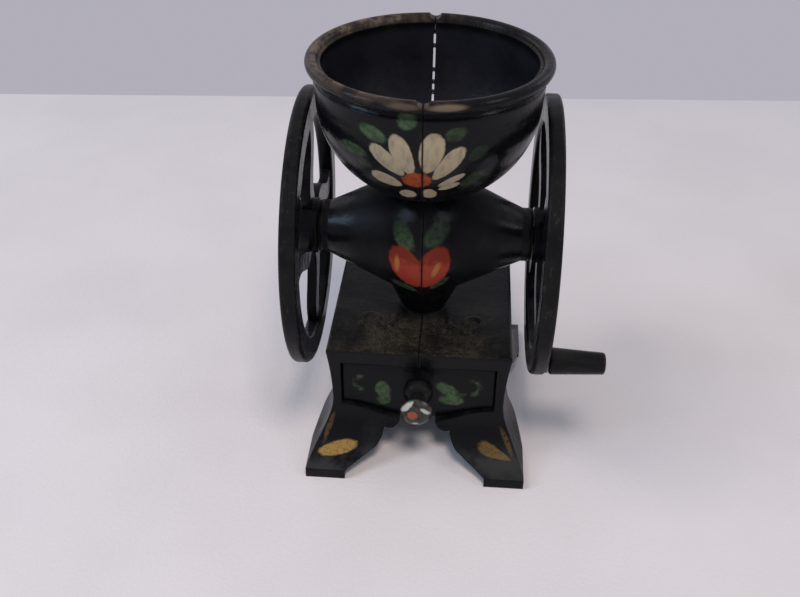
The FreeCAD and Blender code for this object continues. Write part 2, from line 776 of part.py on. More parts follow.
def wheel_washer(side):
    ring = rod_x(WHEEL_WASHER_R, hub_out_x, wheel_nut_x)
    hole = rod_x(SHAFT_END_R + SEAT_GAP, hub_out_x - OVERCUT, wheel_nut_x + OVERCUT)
    return on_side(ring.cut(hole), side)


def wheel_nut(side):
    nut = hex_x(WHEEL_NUT_ACROSS, wheel_nut_x, wheel_nut_x + WHEEL_NUT_T)
    hole = rod_x(SHAFT_END_R + SEAT_GAP, wheel_nut_x - OVERCUT, shaft_end_x + OVERCUT)
    return on_side(nut.cut(hole), side)


# Crank

def crank_pin():
    """A stud riveted in the rim, with a round head sunk in the grip's end."""
    seat_x = crank_head_x - CRANK_HEAD_T
    stud = rod_x(CRANK_PIN_R, rim_in_x, seat_x, crank_y, crank_z)
    head = rod_x(crank_head_r, seat_x, crank_head_x, crank_y, crank_z)
    return stud.fuse(head).removeSplitter()


def crank_washer():
    out_x = rim_out_x + CRANK_WASHER_T
    ring = rod_x(CRANK_WASHER_R, rim_out_x, out_x, crank_y, crank_z)
    return ring.cut(rod_x(CRANK_PIN_R + SEAT_GAP, rim_out_x - OVERCUT, out_x + OVERCUT, crank_y, crank_z))


def crank_grip():
    """A tapered handle with rounded ends that turns on its pin."""
    bend = GRIP_ROUND * (1 - math.sqrt(0.5))
    butt = V(grip_x, 0, GRIP_BUTT_R - GRIP_ROUND)
    butt_bend = V(grip_x + bend, 0, GRIP_BUTT_R - bend)
    butt_side = V(grip_x + GRIP_ROUND, 0, GRIP_BUTT_R)
    tip = V(grip_end_x, 0, GRIP_TIP_R - GRIP_ROUND)
    tip_bend = V(grip_end_x - bend, 0, GRIP_TIP_R - bend)
    tip_side = V(grip_end_x - GRIP_ROUND, 0, GRIP_TIP_R)
    start = V(grip_x, 0, 0)
    end = V(grip_end_x, 0, 0)
    grip = turned(
        [
            line(start, butt),
            arc(butt, butt_bend, butt_side),
            line(butt_side, tip_side),
            arc(tip_side, tip_bend, tip),
            line(tip, end),
            line(end, start),
        ],
        X_AXIS,
    )
    grip.translate(V(0, crank_y, crank_z))
    bore = rod_x(CRANK_PIN_R + RUN_GAP, grip_x - OVERCUT, grip_end_x + OVERCUT, crank_y, crank_z)
    seat_x = crank_head_x - CRANK_HEAD_T - PASS_GAP
    seat = rod_x(crank_head_r + PASS_GAP, seat_x, grip_end_x + OVERCUT, crank_y, crank_z)
    return grip.cut([bore, seat])


# Mill works

def feed_worm():
    """A sleeve with one helical flight that pushes the beans to the burrs."""
    half = WORM_FLIGHT_T / 2
    root = WORM_CORE_R - half
    helix = Part.makeHelix(WORM_PITCH, WORM_LENGTH - 2 * WORM_FLIGHT_T, WORM_CORE_R)
    tooth = Part.Wire(polygon([
        V(root, 0, -half), V(WORM_R, 0, -half / 2), V(WORM_R, 0, half / 2), V(root, 0, half)
    ]))
    flight = Part.Wire(helix).makePipeShell([tooth], True, True)
    flight.rotate(ORIGIN, Y_AXIS, 90)
    flight.translate(V(worm_x + WORM_FLIGHT_T, 0, axle_z))
    worm = rod_x(WORM_CORE_R, worm_x, worm_end_x).fuse(flight)
    return worm.cut([
        rod_x(SHAFT_R + SEAT_GAP, worm_x - OVERCUT, worm_end_x + OVERCUT),
        cross_pin(worm_pin_x, WORKS_PIN_R + SEAT_GAP, 2 * WORM_R, 0),
    ])


def worm_pin():
    return cross_pin(worm_pin_x, WORKS_PIN_R, WORM_CORE_R, 0)


def burr_grooves(x0, x1, r0, r1):
    cuts = []
    for k in range(BURR_GROOVES):
        groove = block(x0, x1, r0, r1, axle_z - BURR_GROOVE_W / 2, axle_z + BURR_GROOVE_W / 2)
        groove.rotate(V(0, 0, axle_z), X_AXIS, 360 * k / BURR_GROOVES)
        cuts.append(groove)
    return cuts


def burr_screw_places():
    return [(side * burr_screw_ring_r, axle_z) for side in (-1, 1)]


def fixed_burr():
    """The grooved ring in the left casting, with its eye round the worm."""
    face_x = fixed_burr_face_x
    sunk_x = FIXED_BURR_X + BURR_T / 2
    cuts = burr_grooves(face_x - BURR_GROOVE_DEPTH, face_x + OVERCUT, burr_eye_r / 2, BURR_R + OVERCUT)
    cuts.append(rod_x(burr_eye_r, FIXED_BURR_X - OVERCUT, face_x + OVERCUT))
    for y, z in burr_screw_places():
        cuts.append(rod_x(BURR_SCREW_R + SEAT_GAP, FIXED_BURR_X - OVERCUT, face_x, y, z))
        cuts.append(rod_x(BURR_SCREW_HEAD_R + SEAT_GAP, sunk_x, face_x + OVERCUT, y, z))
    return rod_x(BURR_R, FIXED_BURR_X, face_x).cut(cuts)


def fixed_burr_screws():
    screws = []
    seat_x = FIXED_BURR_X + BURR_T / 2
    for y, z in burr_screw_places():
        shank = rod_x(BURR_SCREW_R, FIXED_BURR_X - BURR_SCREW_BITE, seat_x, y, z)
        head = rod_x(BURR_SCREW_HEAD_R, seat_x, fixed_burr_face_x - BURR_GROOVE_DEPTH, y, z)
        screws.append(shank.fuse(head).removeSplitter())
    return Part.makeCompound(screws)


def turning_burr():
    """The grooved disc on the shaft that faces the fixed burr."""
    disc = rod_x(BURR_R, turning_burr_x, burr_hub_x)
    hub = rod_x(BURR_HUB_R, burr_hub_x, burr_hub_x + BURR_HUB_LENGTH)
    groove_x = turning_burr_x + BURR_GROOVE_DEPTH
    cuts = burr_grooves(turning_burr_x - OVERCUT, groove_x, BURR_HUB_R, BURR_R + OVERCUT)
    cuts.append(rod_x(SHAFT_R + SEAT_GAP, turning_burr_x - OVERCUT, chamber_end_x))
    cuts.append(cross_pin(burr_pin_x, WORKS_PIN_R + SEAT_GAP, 2 * BURR_HUB_R, 0))
    return disc.fuse(hub).cut(cuts)


def burr_pin():
    return cross_pin(burr_pin_x, WORKS_PIN_R, BURR_HUB_R - PIN_SHY, 0)


# Drawer

def rivet_places():
    return [(side * RIVET_SPACING / 2, KNOB_Z) for side in (-1, 1)]


def drawer_tray():
    """An open tray of folded sheet, with holes for the rivets and the knob's screw."""
    tray = block(-front_half_x, front_half_x, tray_front_y, tray_back_y, tray_low_z, tray_top_z)
    inner_x = front_half_x - TRAY_T
    hollow = block(
        -inner_x, inner_x, tray_front_y + TRAY_T, tray_back_y - TRAY_T,
        tray_low_z + TRAY_T, tray_top_z + OVERCUT,
    )
    far_y = tray_front_y + 2 * TRAY_T
    holes = [rod_y(KNOB_SCREW_R + SEAT_GAP, tray_front_y - OVERCUT, far_y, 0, KNOB_Z)]
    for x, z in rivet_places():
        holes.append(rod_y(RIVET_R + SEAT_GAP, tray_front_y - OVERCUT, far_y, x, z))
    return tray.cut([hollow] + holes)


def drawer_front():
    """A cast plate that fills the opening, with its lower edge hanging in the middle."""
    low = rail_edge(front_half_x, front_y, DRAWER_GAP)
    high_left = V(-front_half_x, front_y, drawer_high_z - DRAWER_GAP)
    high_right = V(front_half_x, front_y, drawer_high_z - DRAWER_GAP)
    plate = Part.Face(wire_of([
        spline(low), line(low[-1], high_right), line(high_right, high_left), line(high_left, low[0])
    ])).extrude(V(0, FRONT_T, 0))
    holes = [rod_y(KNOB_SCREW_R + SEAT_GAP, front_y - OVERCUT, tray_front_y + OVERCUT, 0, KNOB_Z)]
    for x, z in rivet_places():
        holes.append(rod_y(RIVET_R + SEAT_GAP, tray_front_y - RIVET_BITE, tray_front_y + OVERCUT, x, z))
    return plate.cut(holes)


def drawer_rivets():
    rivets = []
    head_y = tray_front_y + TRAY_T
    for x, z in rivet_places():
        shank = rod_y(RIVET_R, tray_front_y - RIVET_BITE, head_y, x, z)
        head = rod_y(RIVET_HEAD_R, head_y, head_y + RIVET_HEAD_T, x, z)
        rivets.append(shank.fuse(head).removeSplitter())
    return Part.makeCompound(rivets)


def knob_rosette():
    """A round boss with a domed face between the drawer and its knob."""
    out_y = front_y - ROSETTE_T
    lip_y = front_y - ROSETTE_LIP
    rim = V(ROSETTE_R, lip_y, 0)
    brow = V(ROSETTE_R * ROSETTE_BROW, (lip_y + out_y) / 2 - ROSETTE_LIP / 4, 0)
    nose = V(KNOB_STEM_R, out_y, 0)
    foot = V(ROSETTE_R, front_y, 0)
    boss = turned(
        [
            line(V(0, front_y, 0), foot),
            line(foot, rim),
            arc(rim, brow, nose),
            line(nose, V(0, out_y, 0)),
            line(V(0, out_y, 0), V(0, front_y, 0)),
        ],
        Y_AXIS,
    )
    boss.translate(V(0, 0, KNOB_Z))
    return boss.cut(rod_y(KNOB_SCREW_R + SEAT_GAP, out_y - OVERCUT, front_y + OVERCUT, 0, KNOB_Z))


def drawer_knob():
    """A mushroom knob on a short stem, turned about Y, with a blind hole for its screw."""
    foot_y = front_y - ROSETTE_T
    tip_y = front_y - KNOB_OUT
    collar_y = tip_y + KNOB_HEAD_T
    foot = V(KNOB_STEM_R, foot_y, 0)
    waist = V(KNOB_STEM_R, collar_y, 0)
    cheek, side, brow = (
        V(KNOB_R * share[0], collar_y - KNOB_HEAD_T * share[1], 0) for share in (KNOB_CHEEK, KNOB_EDGE, KNOB_BROW)
    )
    tip = V(0, tip_y, 0)
    knob = turned(
        [
            line(V(0, foot_y, 0), foot),
            line(foot, waist),
            arc(waist, cheek, side),
            spline([side, brow, tip]),
            line(tip, V(0, foot_y, 0)),
        ],
        Y_AXIS,
    )
    knob.translate(V(0, 0, KNOB_Z))
    return knob.cut(rod_y(KNOB_SCREW_R + SEAT_GAP, foot_y - KNOB_SCREW_BITE, foot_y + OVERCUT, 0, KNOB_Z))


def knob_screw():
    head_y = tray_front_y + TRAY_T
    shank = rod_y(KNOB_SCREW_R, front_y - ROSETTE_T - KNOB_SCREW_BITE, head_y, 0, KNOB_Z)
    head = rod_y(KNOB_SCREW_HEAD_R, head_y, head_y + KNOB_SCREW_HEAD_T, 0, KNOB_Z)
    return shank.fuse(head).removeSplitter()


def all_pieces():
    pieces = castings()
    for name, y, z, half_grip in (
        ("body", body_tie_y, body_tie_z, BODY_BOSS_X),
        ("base", base_tie_y, base_tie_z, BASE_LUG_X),
    ):
        pieces[name + "_tie_screw"] = tie_screw(y, z, half_grip)
        pieces[name + "_tie_nut"] = tie_nut(y, z, half_grip)
    pieces["main_shaft"] = main_shaft()
    for side in (-1, 1):
        name = side_name(side)
        pieces[name + "_bush"] = bush(side)
        pieces[name + "_wheel"] = wheel(side)
        pieces[name + "_wheel_pin"] = wheel_pin(side)
        pieces[name + "_wheel_washer"] = wheel_washer(side)
        pieces[name + "_wheel_nut"] = wheel_nut(side)
    for make in (
        crank_pin, crank_washer, crank_grip,
        feed_worm, worm_pin, fixed_burr, fixed_burr_screws, turning_burr, burr_pin,
        drawer_tray, drawer_front, drawer_rivets, knob_rosette, drawer_knob, knob_screw,
    ):
        pieces[make.__name__] = make()
    return pieces


os.makedirs("parts", exist_ok=True)
for node, shape in all_pieces().items():
    shape.exportStep("parts/" + node + ".step")
    box = shape.optimalBoundingBox()
    print(
        "%-20s %d solid, valid %s, %9.1f mm3, x %.2f..%.2f y %.2f..%.2f z %.2f..%.2f"
        % (
            node, len(shape.Solids), shape.isValid(), shape.Volume,
            box.XMin, box.XMax, box.YMin, box.YMax, box.ZMin, box.ZMax,
        )
    )
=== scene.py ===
"""Finishes and small parts of a miniature double-wheel coffee mill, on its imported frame."""
import math

import bmesh
import bpy
from bpy.props import FloatProperty, FloatVectorProperty, IntProperty, PointerProperty
from mathutils import Matrix, Vector


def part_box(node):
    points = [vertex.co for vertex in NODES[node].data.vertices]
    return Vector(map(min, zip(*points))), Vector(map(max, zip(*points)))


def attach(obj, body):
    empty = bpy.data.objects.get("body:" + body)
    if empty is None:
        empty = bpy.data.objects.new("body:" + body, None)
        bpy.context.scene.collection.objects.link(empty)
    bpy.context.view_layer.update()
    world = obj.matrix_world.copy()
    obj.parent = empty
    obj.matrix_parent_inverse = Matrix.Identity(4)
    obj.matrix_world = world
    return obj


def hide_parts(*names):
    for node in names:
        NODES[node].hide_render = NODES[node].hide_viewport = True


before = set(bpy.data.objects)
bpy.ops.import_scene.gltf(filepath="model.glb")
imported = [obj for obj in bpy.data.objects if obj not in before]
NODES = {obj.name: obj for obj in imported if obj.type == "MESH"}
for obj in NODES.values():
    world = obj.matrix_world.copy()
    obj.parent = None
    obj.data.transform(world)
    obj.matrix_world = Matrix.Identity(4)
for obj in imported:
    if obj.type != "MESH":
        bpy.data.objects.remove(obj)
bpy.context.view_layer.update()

bl_info = {
    "name": "Double-wheel coffee mill",
    "version": (1, 0, 0),
    "blender": (4, 5, 0),
    "location": "3D View > Sidebar > Mill",
    "description": "Paints the castings, wheels, crank and drawer of a mill, and sets its stage",
    "category": "Object",
}

MM = 0.001

# Places on the mill, in millimetres
AXLE_Z = 76.0
WHEEL_R = 48.0
RIM_IN_R = 38.8
RIM_IN_X = 37.8
RIM_OUT_X = 43.0
BEAD_Z = 138.0
BEAD_RING_R = 37.15
BEAD_FRONT_Y = -30.0
BOWL_LOW_Z = 98.0
ARM_ROOT_X = (8.0, 13.0)
ARM_END_X = (27.0, 22.0)
FRONT_Y = -7.0          # ornament lies in front of this
PLATE_Z = 45.6
TOE_TOP_Z = 4.2
TOE_HIGH_Z = 12.5
TOE_FADE_Z = (9.0, 6.0)
GRIP_END = 4.0          # length of the grip's rubbed end
CURL_HALF = (3.0, 3.4)
KNOB_Z = 26.8
KNOB_FACE_Y = -40.0
KNOB_STEM_Y = -37.4

COAT_ROUGHNESS = 0.12
WHEEL_SHEEN = 0.6                   # share of the castings' sheen
FOLD_ANGLE = math.radians(30.0)     # edges that bend more than this get rounded
NUT_CORNER_ANGLE = 0.7
NUT_CUTS = 3                        # extra points along each flat of a nut


def colour(name, description, default):
    return FloatVectorProperty(
        name=name, description=description, subtype="COLOR", size=3, min=0.0, max=1.0,
        default=default,
    )


def share(name, description, default):
    return FloatProperty(
        name=name, description=description, subtype="FACTOR", min=0.0, max=1.0, default=default
    )


def length(name, description, default):
    return FloatProperty(
        name=name, description=description, subtype="DISTANCE", unit="LENGTH", min=0.0,
        default=default,
    )


def power(name, description, default):
    return FloatProperty(
        name=name, description=description, subtype="POWER", min=0.0, default=default
    )


class MillPaint(bpy.types.PropertyGroup):
    """Colours of the paint, the ornament and the wear, with some painted sheen and glints."""

    black: colour("Black paint", "Enamel on the castings", (0.0038, 0.0038, 0.0046))
    worn: colour("Worn paint", "Where hands have rubbed the enamel thin", (0.022, 0.019, 0.0165))
    rust: colour("Rust", "Rust that has crept out of the seam", (0.036, 0.022, 0.014))
    # Also laid on the toes' tops, where it paints their grey sheen.
    dust_and_sheen: colour("Dust", "Dull film on faces that look up", (0.036, 0.034, 0.033))
    petal: colour("Petals", "Cream strokes of the daisy", (0.415, 0.330, 0.212))
    petal_shade: colour("Petal shade", "Thin paint at the strokes' edges", (0.275, 0.225, 0.150))
    blossom: colour("Blossom", "Orange heart of the daisy", (0.350, 0.066, 0.014))
    leaf: colour("Leaf", "Green dabs", (0.034, 0.062, 0.028))
    leaf_light: colour("Leaf light", "Thick paint in the green dabs", (0.082, 0.130, 0.060))
    berry: colour("Berry", "Red of the strawberry", (0.320, 0.039, 0.020))
    berry_deep: colour("Berry shade", "Thin red paint on the strawberry", (0.175, 0.019, 0.008))
    seed: colour("Seed strokes", "Yellow strokes on the strawberry", (0.380, 0.170, 0.040))
    gold: colour("Gold", "Gold dabs on the feet", (0.310, 0.175, 0.050))
    bronze_rub: colour("Rubbed rim", "Bronze tone of the hopper's rim", (0.066, 0.045, 0.034))
    # Bright rub, and also the colour of a painted glint on the rim's front.
    bright_rub_and_glint: colour("Bright rim", "Where the rim is rubbed most", (0.230, 0.160, 0.100))
    # Painted sheen: the lighter, bluish tone laid inside the hopper.
    film: colour("Hopper film", "What beans leave in the hopper", (0.0140, 0.0136, 0.0185))
    plate: colour("Plate", "Dull top of the base", (0.0060, 0.0057, 0.0052))
    plate_grain: colour("Plate grain", "Light grains on that top", (0.054, 0.044, 0.030))
    seam: colour("Seam", "Dark line between the halves", (0.0022, 0.0022, 0.0022))
    tread: colour("Tread", "Thin film on the wheels' treads", (0.0125, 0.0115, 0.0110))
    scuff: colour("Scuffs", "Scuffed spots on the treads", (0.046, 0.036, 0.028))
    brink: colour("Rim edges", "Rubbed edges of the wheels' rims", (0.036, 0.031, 0.027))
    handled: colour("Handled grip", "Enamel that hands have worn", (0.016, 0.014, 0.012))


class MillMetal(bpy.types.PropertyGroup):
    """Colours of the bare metal and of the drawer's knob."""

    steel: colour("Steel", "Shaft, screws, pins and nuts", (0.22, 0.215, 0.205))
    bronze: colour("Bronze", "Oiled bushes", (0.016, 0.012, 0.009))
    iron: colour("Iron", "Worm and burrs", (0.17, 0.165, 0.16))
    tinplate: colour("Tinplate", "Tray of the drawer", (0.40, 0.40, 0.39))
    rust: colour("Rust spots", "Spots on bare metal", (0.085, 0.045, 0.024))
    nickel: colour("Nickel", "Worn plating of the knob", (0.042, 0.040, 0.027))
    stain: colour("Stains", "Dark stains on the nickel", (0.012, 0.011, 0.009))
    # The stem's black also paints the shade between the boss and the knob's head.
    stem: colour("Stem", "Black stem of the knob", (0.010, 0.010, 0.010))
    # The white strokes also paint the glints on the knob's edges.
    knob_white_and_glint: colour("Knob petals", "White strokes on the knob", (0.50, 0.48, 0.44))
    knob_heart: colour("Knob heart", "Orange dab on the knob", (0.330, 0.066, 0.016))
    knob_dark: colour("Knob shade", "Dark dab on the knob", (0.004, 0.004, 0.004))


class MillFinish(bpy.types.PropertyGroup):
    """How the surfaces take the light."""

    gloss: share("Paint roughness", "Roughness of sound enamel", 0.23)
    worn_roughness: share("Worn roughness", "Roughness of worn enamel", 0.55)
    sheen: share("Sheen", "How strongly the enamel mirrors, as the shader's specular level", 0.15)
    edge_round: length("Edge round", "How far the castings' edges look rounded", 0.0009)
    cast_grain: length("Cast grain", "Height of the sand grain under the paint", 0.00005)


class MillHardware(bpy.types.PropertyGroup):
    """Sizes of the small parts that are made here."""

    nut_chamfer: length("Nut chamfer", "Chamfer on the outer corners of the shaft's nuts", 0.00045)
    nut_bore: length("Nut bore", "Radius of the nuts' holes", 0.00254)
    nut_sides: IntProperty(name="Nut sides", description="Flats on a nut", default=6, min=4, max=8)
    hem: length("Tray hem", "Width of the folded edge of the drawer's tray", 0.0013)
    hem_height: length("Hem height", "Height of that edge", 0.0014)
    hem_proud: length("Hem proud", "How far that edge stands out from the tray", 0.00012)


class MillStage(bpy.types.PropertyGroup):
    """Floor, backdrop, light and camera."""

    floor: colour("Floor", "Pale cloth the mill stands on", (0.735, 0.655, 0.650))
    backdrop: colour("Backdrop", "What is seen past the floor's back edge", (0.440, 0.425, 0.490))
    sky: colour("Sky", "Tone of the even light", (0.60, 0.77, 1.0))
    ambient: FloatProperty(
        name="Ambient", description="Strength of the even light", default=0.38, min=0.0
    )
    window: power("Window", "Power of the large light at the left", 1.7)
    front_lamp: power("Front lamp", "Power of the lamp above the front", 7.6)
    side_lamp: power("Side lamp", "Power of the lamp above the left", 3.5)
    fill: power("Fill", "Power of the weak light at the right", 0.6)
    back_light: power("Back light", "Power of each weak light behind", 0.35)
    lens: FloatProperty(
        name="Lens", description="Focal length on a 36 mm sensor, in millimetres", default=45.0,
        min=1.0,
    )


class Wire:
    """A socket of a material's tree. Arithmetic on it adds the nodes that it needs."""

    def __init__(self, paint, socket):
        self.paint = paint
        self.socket = socket

    def math(self, operation, *others):
        values = dict(enumerate((self, *others)))
        return self.paint.node("ShaderNodeMath", {"operation": operation}, values)

    def __add__(self, other):
        return self.math("ADD", other)

    __radd__ = __add__

    def __sub__(self, other):
        return self.math("SUBTRACT", other)

    def __rsub__(self, other):
        return self.paint.node("ShaderNodeMath", {"operation": "SUBTRACT"}, {0: other, 1: self})

    def __mul__(self, other):
        return self.math("MULTIPLY", other)

    __rmul__ = __mul__

    def __truediv__(self, other):
        return self.math("DIVIDE", other)

    def __abs__(self):
        return self.math("ABSOLUTE")

    def __lt__(self, other):
        return self.math("LESS_THAN", other)

    def __gt__(self, other):
        return self.math("GREATER_THAN", other)

    def either(self, other):
        return self.math("MAXIMUM", other)

    def ease(self, low, high):
        """0 at low and 1 at high, with a smooth run between; low may be the larger."""
        return self.paint.node(
            "ShaderNodeMapRange",
            {"interpolation_type": "SMOOTHSTEP"},
            {"Value": self, "From Min": low, "From Max": high},
        )


class Coat:
    """One material and the nodes in it."""

    def __init__(self, name):
        self.material = bpy.data.materials.new(name)
        self.material.use_nodes = True
        self.tree = self.material.node_tree
        self.tree.nodes.clear()
        place = self.node("ShaderNodeTexCoord", output="Object")
        self.place = self.node(
            "ShaderNodeVectorMath", {"operation": "SCALE"}, {0: place, "Scale": 1 / MM}
        )
        self.x = self.node("ShaderNodeSeparateXYZ", None, {0: self.place}, "X")
        self.y = self.node("ShaderNodeSeparateXYZ", None, {0: self.place}, "Y")
        self.z = self.node("ShaderNodeSeparateXYZ", None, {0: self.place}, "Z")

    def node(self, kind, settings=None, sockets=None, output=0):
        made = self.tree.nodes.new(kind)
        for key, value in (settings or {}).items():
            setattr(made, key, value)
        for key, value in (sockets or {}).items():
            if isinstance(value, Wire):
                self.tree.links.new(value.socket, made.inputs[key])
            else:
                made.inputs[key].default_value = value
        return Wire(self, made.outputs[output])

    def noise(self, size, detail=3.0, rough=0.55, stretch=(1, 1, 1), shift=(0, 0, 0)):
        """Noise whose features are about size millimetres across, around a mean of one half."""
        at = self.node(
            "ShaderNodeMapping", {"vector_type": "POINT"},
            {"Vector": self.place, "Scale": Vector(stretch) / size, "Location": Vector(shift)},
        )
        return self.node(
            "ShaderNodeTexNoise", None,
            {"Vector": at, "Scale": 1.0, "Detail": detail, "Roughness": rough},
        )

    def mix(self, under, over, amount):
        """A colour laid over another by amount."""
        def four(tone):
            return tone if isinstance(tone, Wire) else (*tone, 1.0)

        return self.node(
            "ShaderNodeMix", {"data_type": "RGBA"}, {0: amount, 6: four(under), 7: four(over)}, 2
        )

    def blend(self, under, over, amount):
        """A number that runs from under to over by amount."""
        return self.node("ShaderNodeMix", {"data_type": "FLOAT"}, {0: amount, 2: under, 3: over}, 0)

    def facing(self, axis):
        """How far the surface looks along an axis."""
        normal = self.node("ShaderNodeNewGeometry", output="Normal")
        return self.node("ShaderNodeSeparateXYZ", None, {0: normal}, axis)

    def reach(self, vector):
        """How long a vector is."""
        settings = {"operation": "LENGTH"}
        return self.node("ShaderNodeVectorMath", settings, {0: vector}, "Value")

    def flat(self, across, up):
        """A drawing plane: two places as one vector."""
        return self.node("ShaderNodeCombineXYZ", None, {0: across, 1: up, 2: 0.0})

    def dab(self, plane, at, half, tilt, wobble, soft=0.16, taper=0.0):
        """One brush stroke: an oval turned by tilt degrees, wider at its far end by taper."""
        local = self.node(
            "ShaderNodeMapping",
            {"vector_type": "TEXTURE"},
            {
                "Vector": plane,
                "Location": Vector((at[0], at[1], 0.0)),
                "Rotation": Vector((0.0, 0.0, math.radians(tilt))),
                "Scale": Vector((half[0], half[1], 1.0)),
            },
        )
        if taper:
            along = self.node("ShaderNodeSeparateXYZ", None, {0: local}, "X")
            across = self.node("ShaderNodeSeparateXYZ", None, {0: local}, "Y")
            local = self.node(
                "ShaderNodeCombineXYZ", None, {0: along, 1: across / (along * taper + 1.0), 2: 0.0}
            )
        return (self.reach(local) + wobble).ease(1.0 + soft / 2, 1.0 - soft / 2)

    def any_of(self, masks):
        total = masks[0]
        for mask in masks[1:]:
            total = total.either(mask)
        return total

    def finish(
        self, tone, roughness, height=None, depth=0.0,
        metallic=0.0, edge=0.0, specular=0.5, coat=0.0,
    ):
        """Joins the colours, roughness and relief in one shader."""
        shader = self.tree.nodes.new("ShaderNodeBsdfPrincipled")
        values = {"Base Color": tone, "Roughness": roughness, "Metallic": metallic}
        shader.inputs["Specular IOR Level"].default_value = specular
        shader.inputs["Coat Weight"].default_value = coat
        shader.inputs["Coat Roughness"].default_value = COAT_ROUGHNESS
        normal = None
        if edge:
            normal = self.node("ShaderNodeBevel", {"samples": 6}, {"Radius": edge})
        if height is not None:
            sockets = {"Height": height, "Distance": depth, "Strength": 1.0}
            if normal is not None:
                sockets["Normal"] = normal
            normal = self.node("ShaderNodeBump", None, sockets)
        if normal is not None:
            values["Normal"] = normal
        for key, value in values.items():
            if isinstance(value, Wire):
                self.tree.links.new(value.socket, shader.inputs[key])
            elif key == "Base Color":
                shader.inputs[key].default_value = (*value, 1.0)
            else:
                shader.inputs[key].default_value = value
        output = self.tree.nodes.new("ShaderNodeOutputMaterial")
        self.tree.links.new(shader.outputs[0], output.inputs[0])
        return self.material


def dress(material, *names):
    """Gives frame nodes a finish."""
    for name in names:
        slots = NODES[name].data.materials
        slots.clear()
        slots.append(material)


class Enamel(Coat):
    """Black enamel over sand-cast iron, with the wear that all painted pieces share."""

    def __init__(self, name):
        super().__init__(name)
        scene = bpy.context.scene
        self.tones = scene.mill_paint
        self.wear = scene.mill_finish
        self.grain = self.noise(0.6, 4.0, 0.6)
        self.lumps = self.noise(5.5, 3.0, 0.5, shift=(3.1, 7.7, 1.3))
        self.dents = self.noise(2.1, 3.0, 0.55, shift=(6.0, 2.5, 9.0))
        self.patches = self.noise(13.0, 4.0, 0.62, shift=(11.0, 2.0, 5.0))
        self.specks = self.noise(1.5, 5.0, 0.7, shift=(1.0, 9.0, 4.0))
        self.wobble = (self.noise(1.9, 3.0, 0.55, shift=(5.0, 1.0, 8.0)) - 0.5) * 0.34
        thin = self.patches.ease(0.52, 0.74) * 0.35
        chips = (self.specks * 0.6 + self.patches * 0.4).ease(0.60, 0.66) * 0.7
        self.rubbed = thin.either(chips)
        up = self.facing("Z").ease(0.55, 0.98)
        below_bead = self.z.ease(BEAD_Z - 3.0, BEAD_Z - 6.0)
        self.dusty = up * self.patches.ease(0.36, 0.64) * 0.3 * below_bead
        self.tone = self.shades("black", "worn", self.rubbed)
        self.tone = self.mix(self.tone, self.tones.dust_and_sheen, self.dusty)
        self.rough = self.blend(self.wear.gloss, self.wear.worn_roughness, self.rubbed)
        self.rough = self.blend(self.rough, 0.7, self.dusty)
        self.rough = self.rough + (self.lumps - 0.5) * 0.16
        self.height = self.grain * 0.5 + self.dents * 1.6 + self.lumps * 4.4 - self.rubbed * 0.4

    def shades(self, under, over, amount):
        """Two of the mill's paints, mixed by amount."""
        return self.mix(getattr(self.tones, under), getattr(self.tones, over), amount)

    def lay(self, tone, amount, roughness=None, lift=0.0):
        """Paints over what is there with a mixed tone, or with one of the mill's paints by name."""
        if isinstance(tone, str):
            tone = getattr(self.tones, tone)
        self.tone = self.mix(self.tone, tone, amount)
        if roughness is not None:
            self.rough = self.blend(self.rough, roughness, amount)
        if lift:
            self.height = self.height + amount * lift

    def done(self, sheen=1.0):
        return self.finish(
            self.tone, self.rough, self.height, self.wear.cast_grain,
            edge=self.wear.edge_round, specular=self.wear.sheen * sheen,
        )


# Strokes in the front elevation: across (X), up (Z), half length, half width, tilt, taper
DAISY = (
    (-5.9, 121.7, 7.2, 3.0, 112.0, 0.22),
    (2.6, 122.8, 6.9, 3.6, 79.0, 0.22),
    (-10.5, 119.1, 6.9, 2.5, 136.0, 0.22),
    (-10.9, 111.3, 5.0, 2.3, 159.0, 0.15),
    (7.6, 118.9, 7.1, 2.6, 53.0, 0.22),
    (8.6, 112.4, 4.6, 1.2, 31.0, 0.10),
    (8.0, 109.6, 3.4, 1.1, 22.0, 0.10),
    (-4.6, 105.0, 2.6, 2.4, 0.0, 0.0),
    (2.0, 105.9, 2.3, 2.7, 0.0, 0.0),
)
DAISY_HEART = (-1.7, 112.6, 4.3, 3.2, 0.0)
# Leaves: the same, with the paint's strength in place of the taper
BOWL_LEAVES = (
    (-4.6, 133.2, 2.8, 2.6, 20.0, 1.0),
    (-14.8, 127.7, 4.1, 2.2, -23.0, 1.0),
    (-21.0, 120.4, 3.9, 1.9, -10.0, 0.6),
    (-17.6, 116.2, 2.6, 1.5, -20.0, 0.35),
    (9.5, 129.2, 3.1, 2.2, 15.0, 0.45),
    (16.3, 121.9, 3.0, 2.0, 40.0, 0.22),
    (14.7, 111.5, 4.5, 2.1, 44.0, 0.38),
)
BODY_LEAVES = (
    (-6.4, 84.4, 5.0, 3.0, 118.0, 0.6),
    (4.4, 86.0, 5.0, 3.0, 44.0, 0.36),
    (-5.9, 64.2, 4.4, 1.6, -18.0, 0.6),
    (5.6, 67.0, 3.6, 1.6, 39.0, 0.6),
)
BERRY_FADE_Z = (70.0, 82.0)
BERRY = ((-5.0, 73.7, 8.4, 5.3, 118.0), (3.3, 73.9, 8.5, 5.4, 66.0))
SEEDS = ((-8.4, 74.5, 3.1, 0.85, 88.0), (4.6, 73.6, 3.0, 0.95, 70.0))
FOOT_STRIPES = ((-31.3, 12.6, 4.4, 0.85, 69.0), (31.9, 11.0, 4.0, 0.85, 121.0))
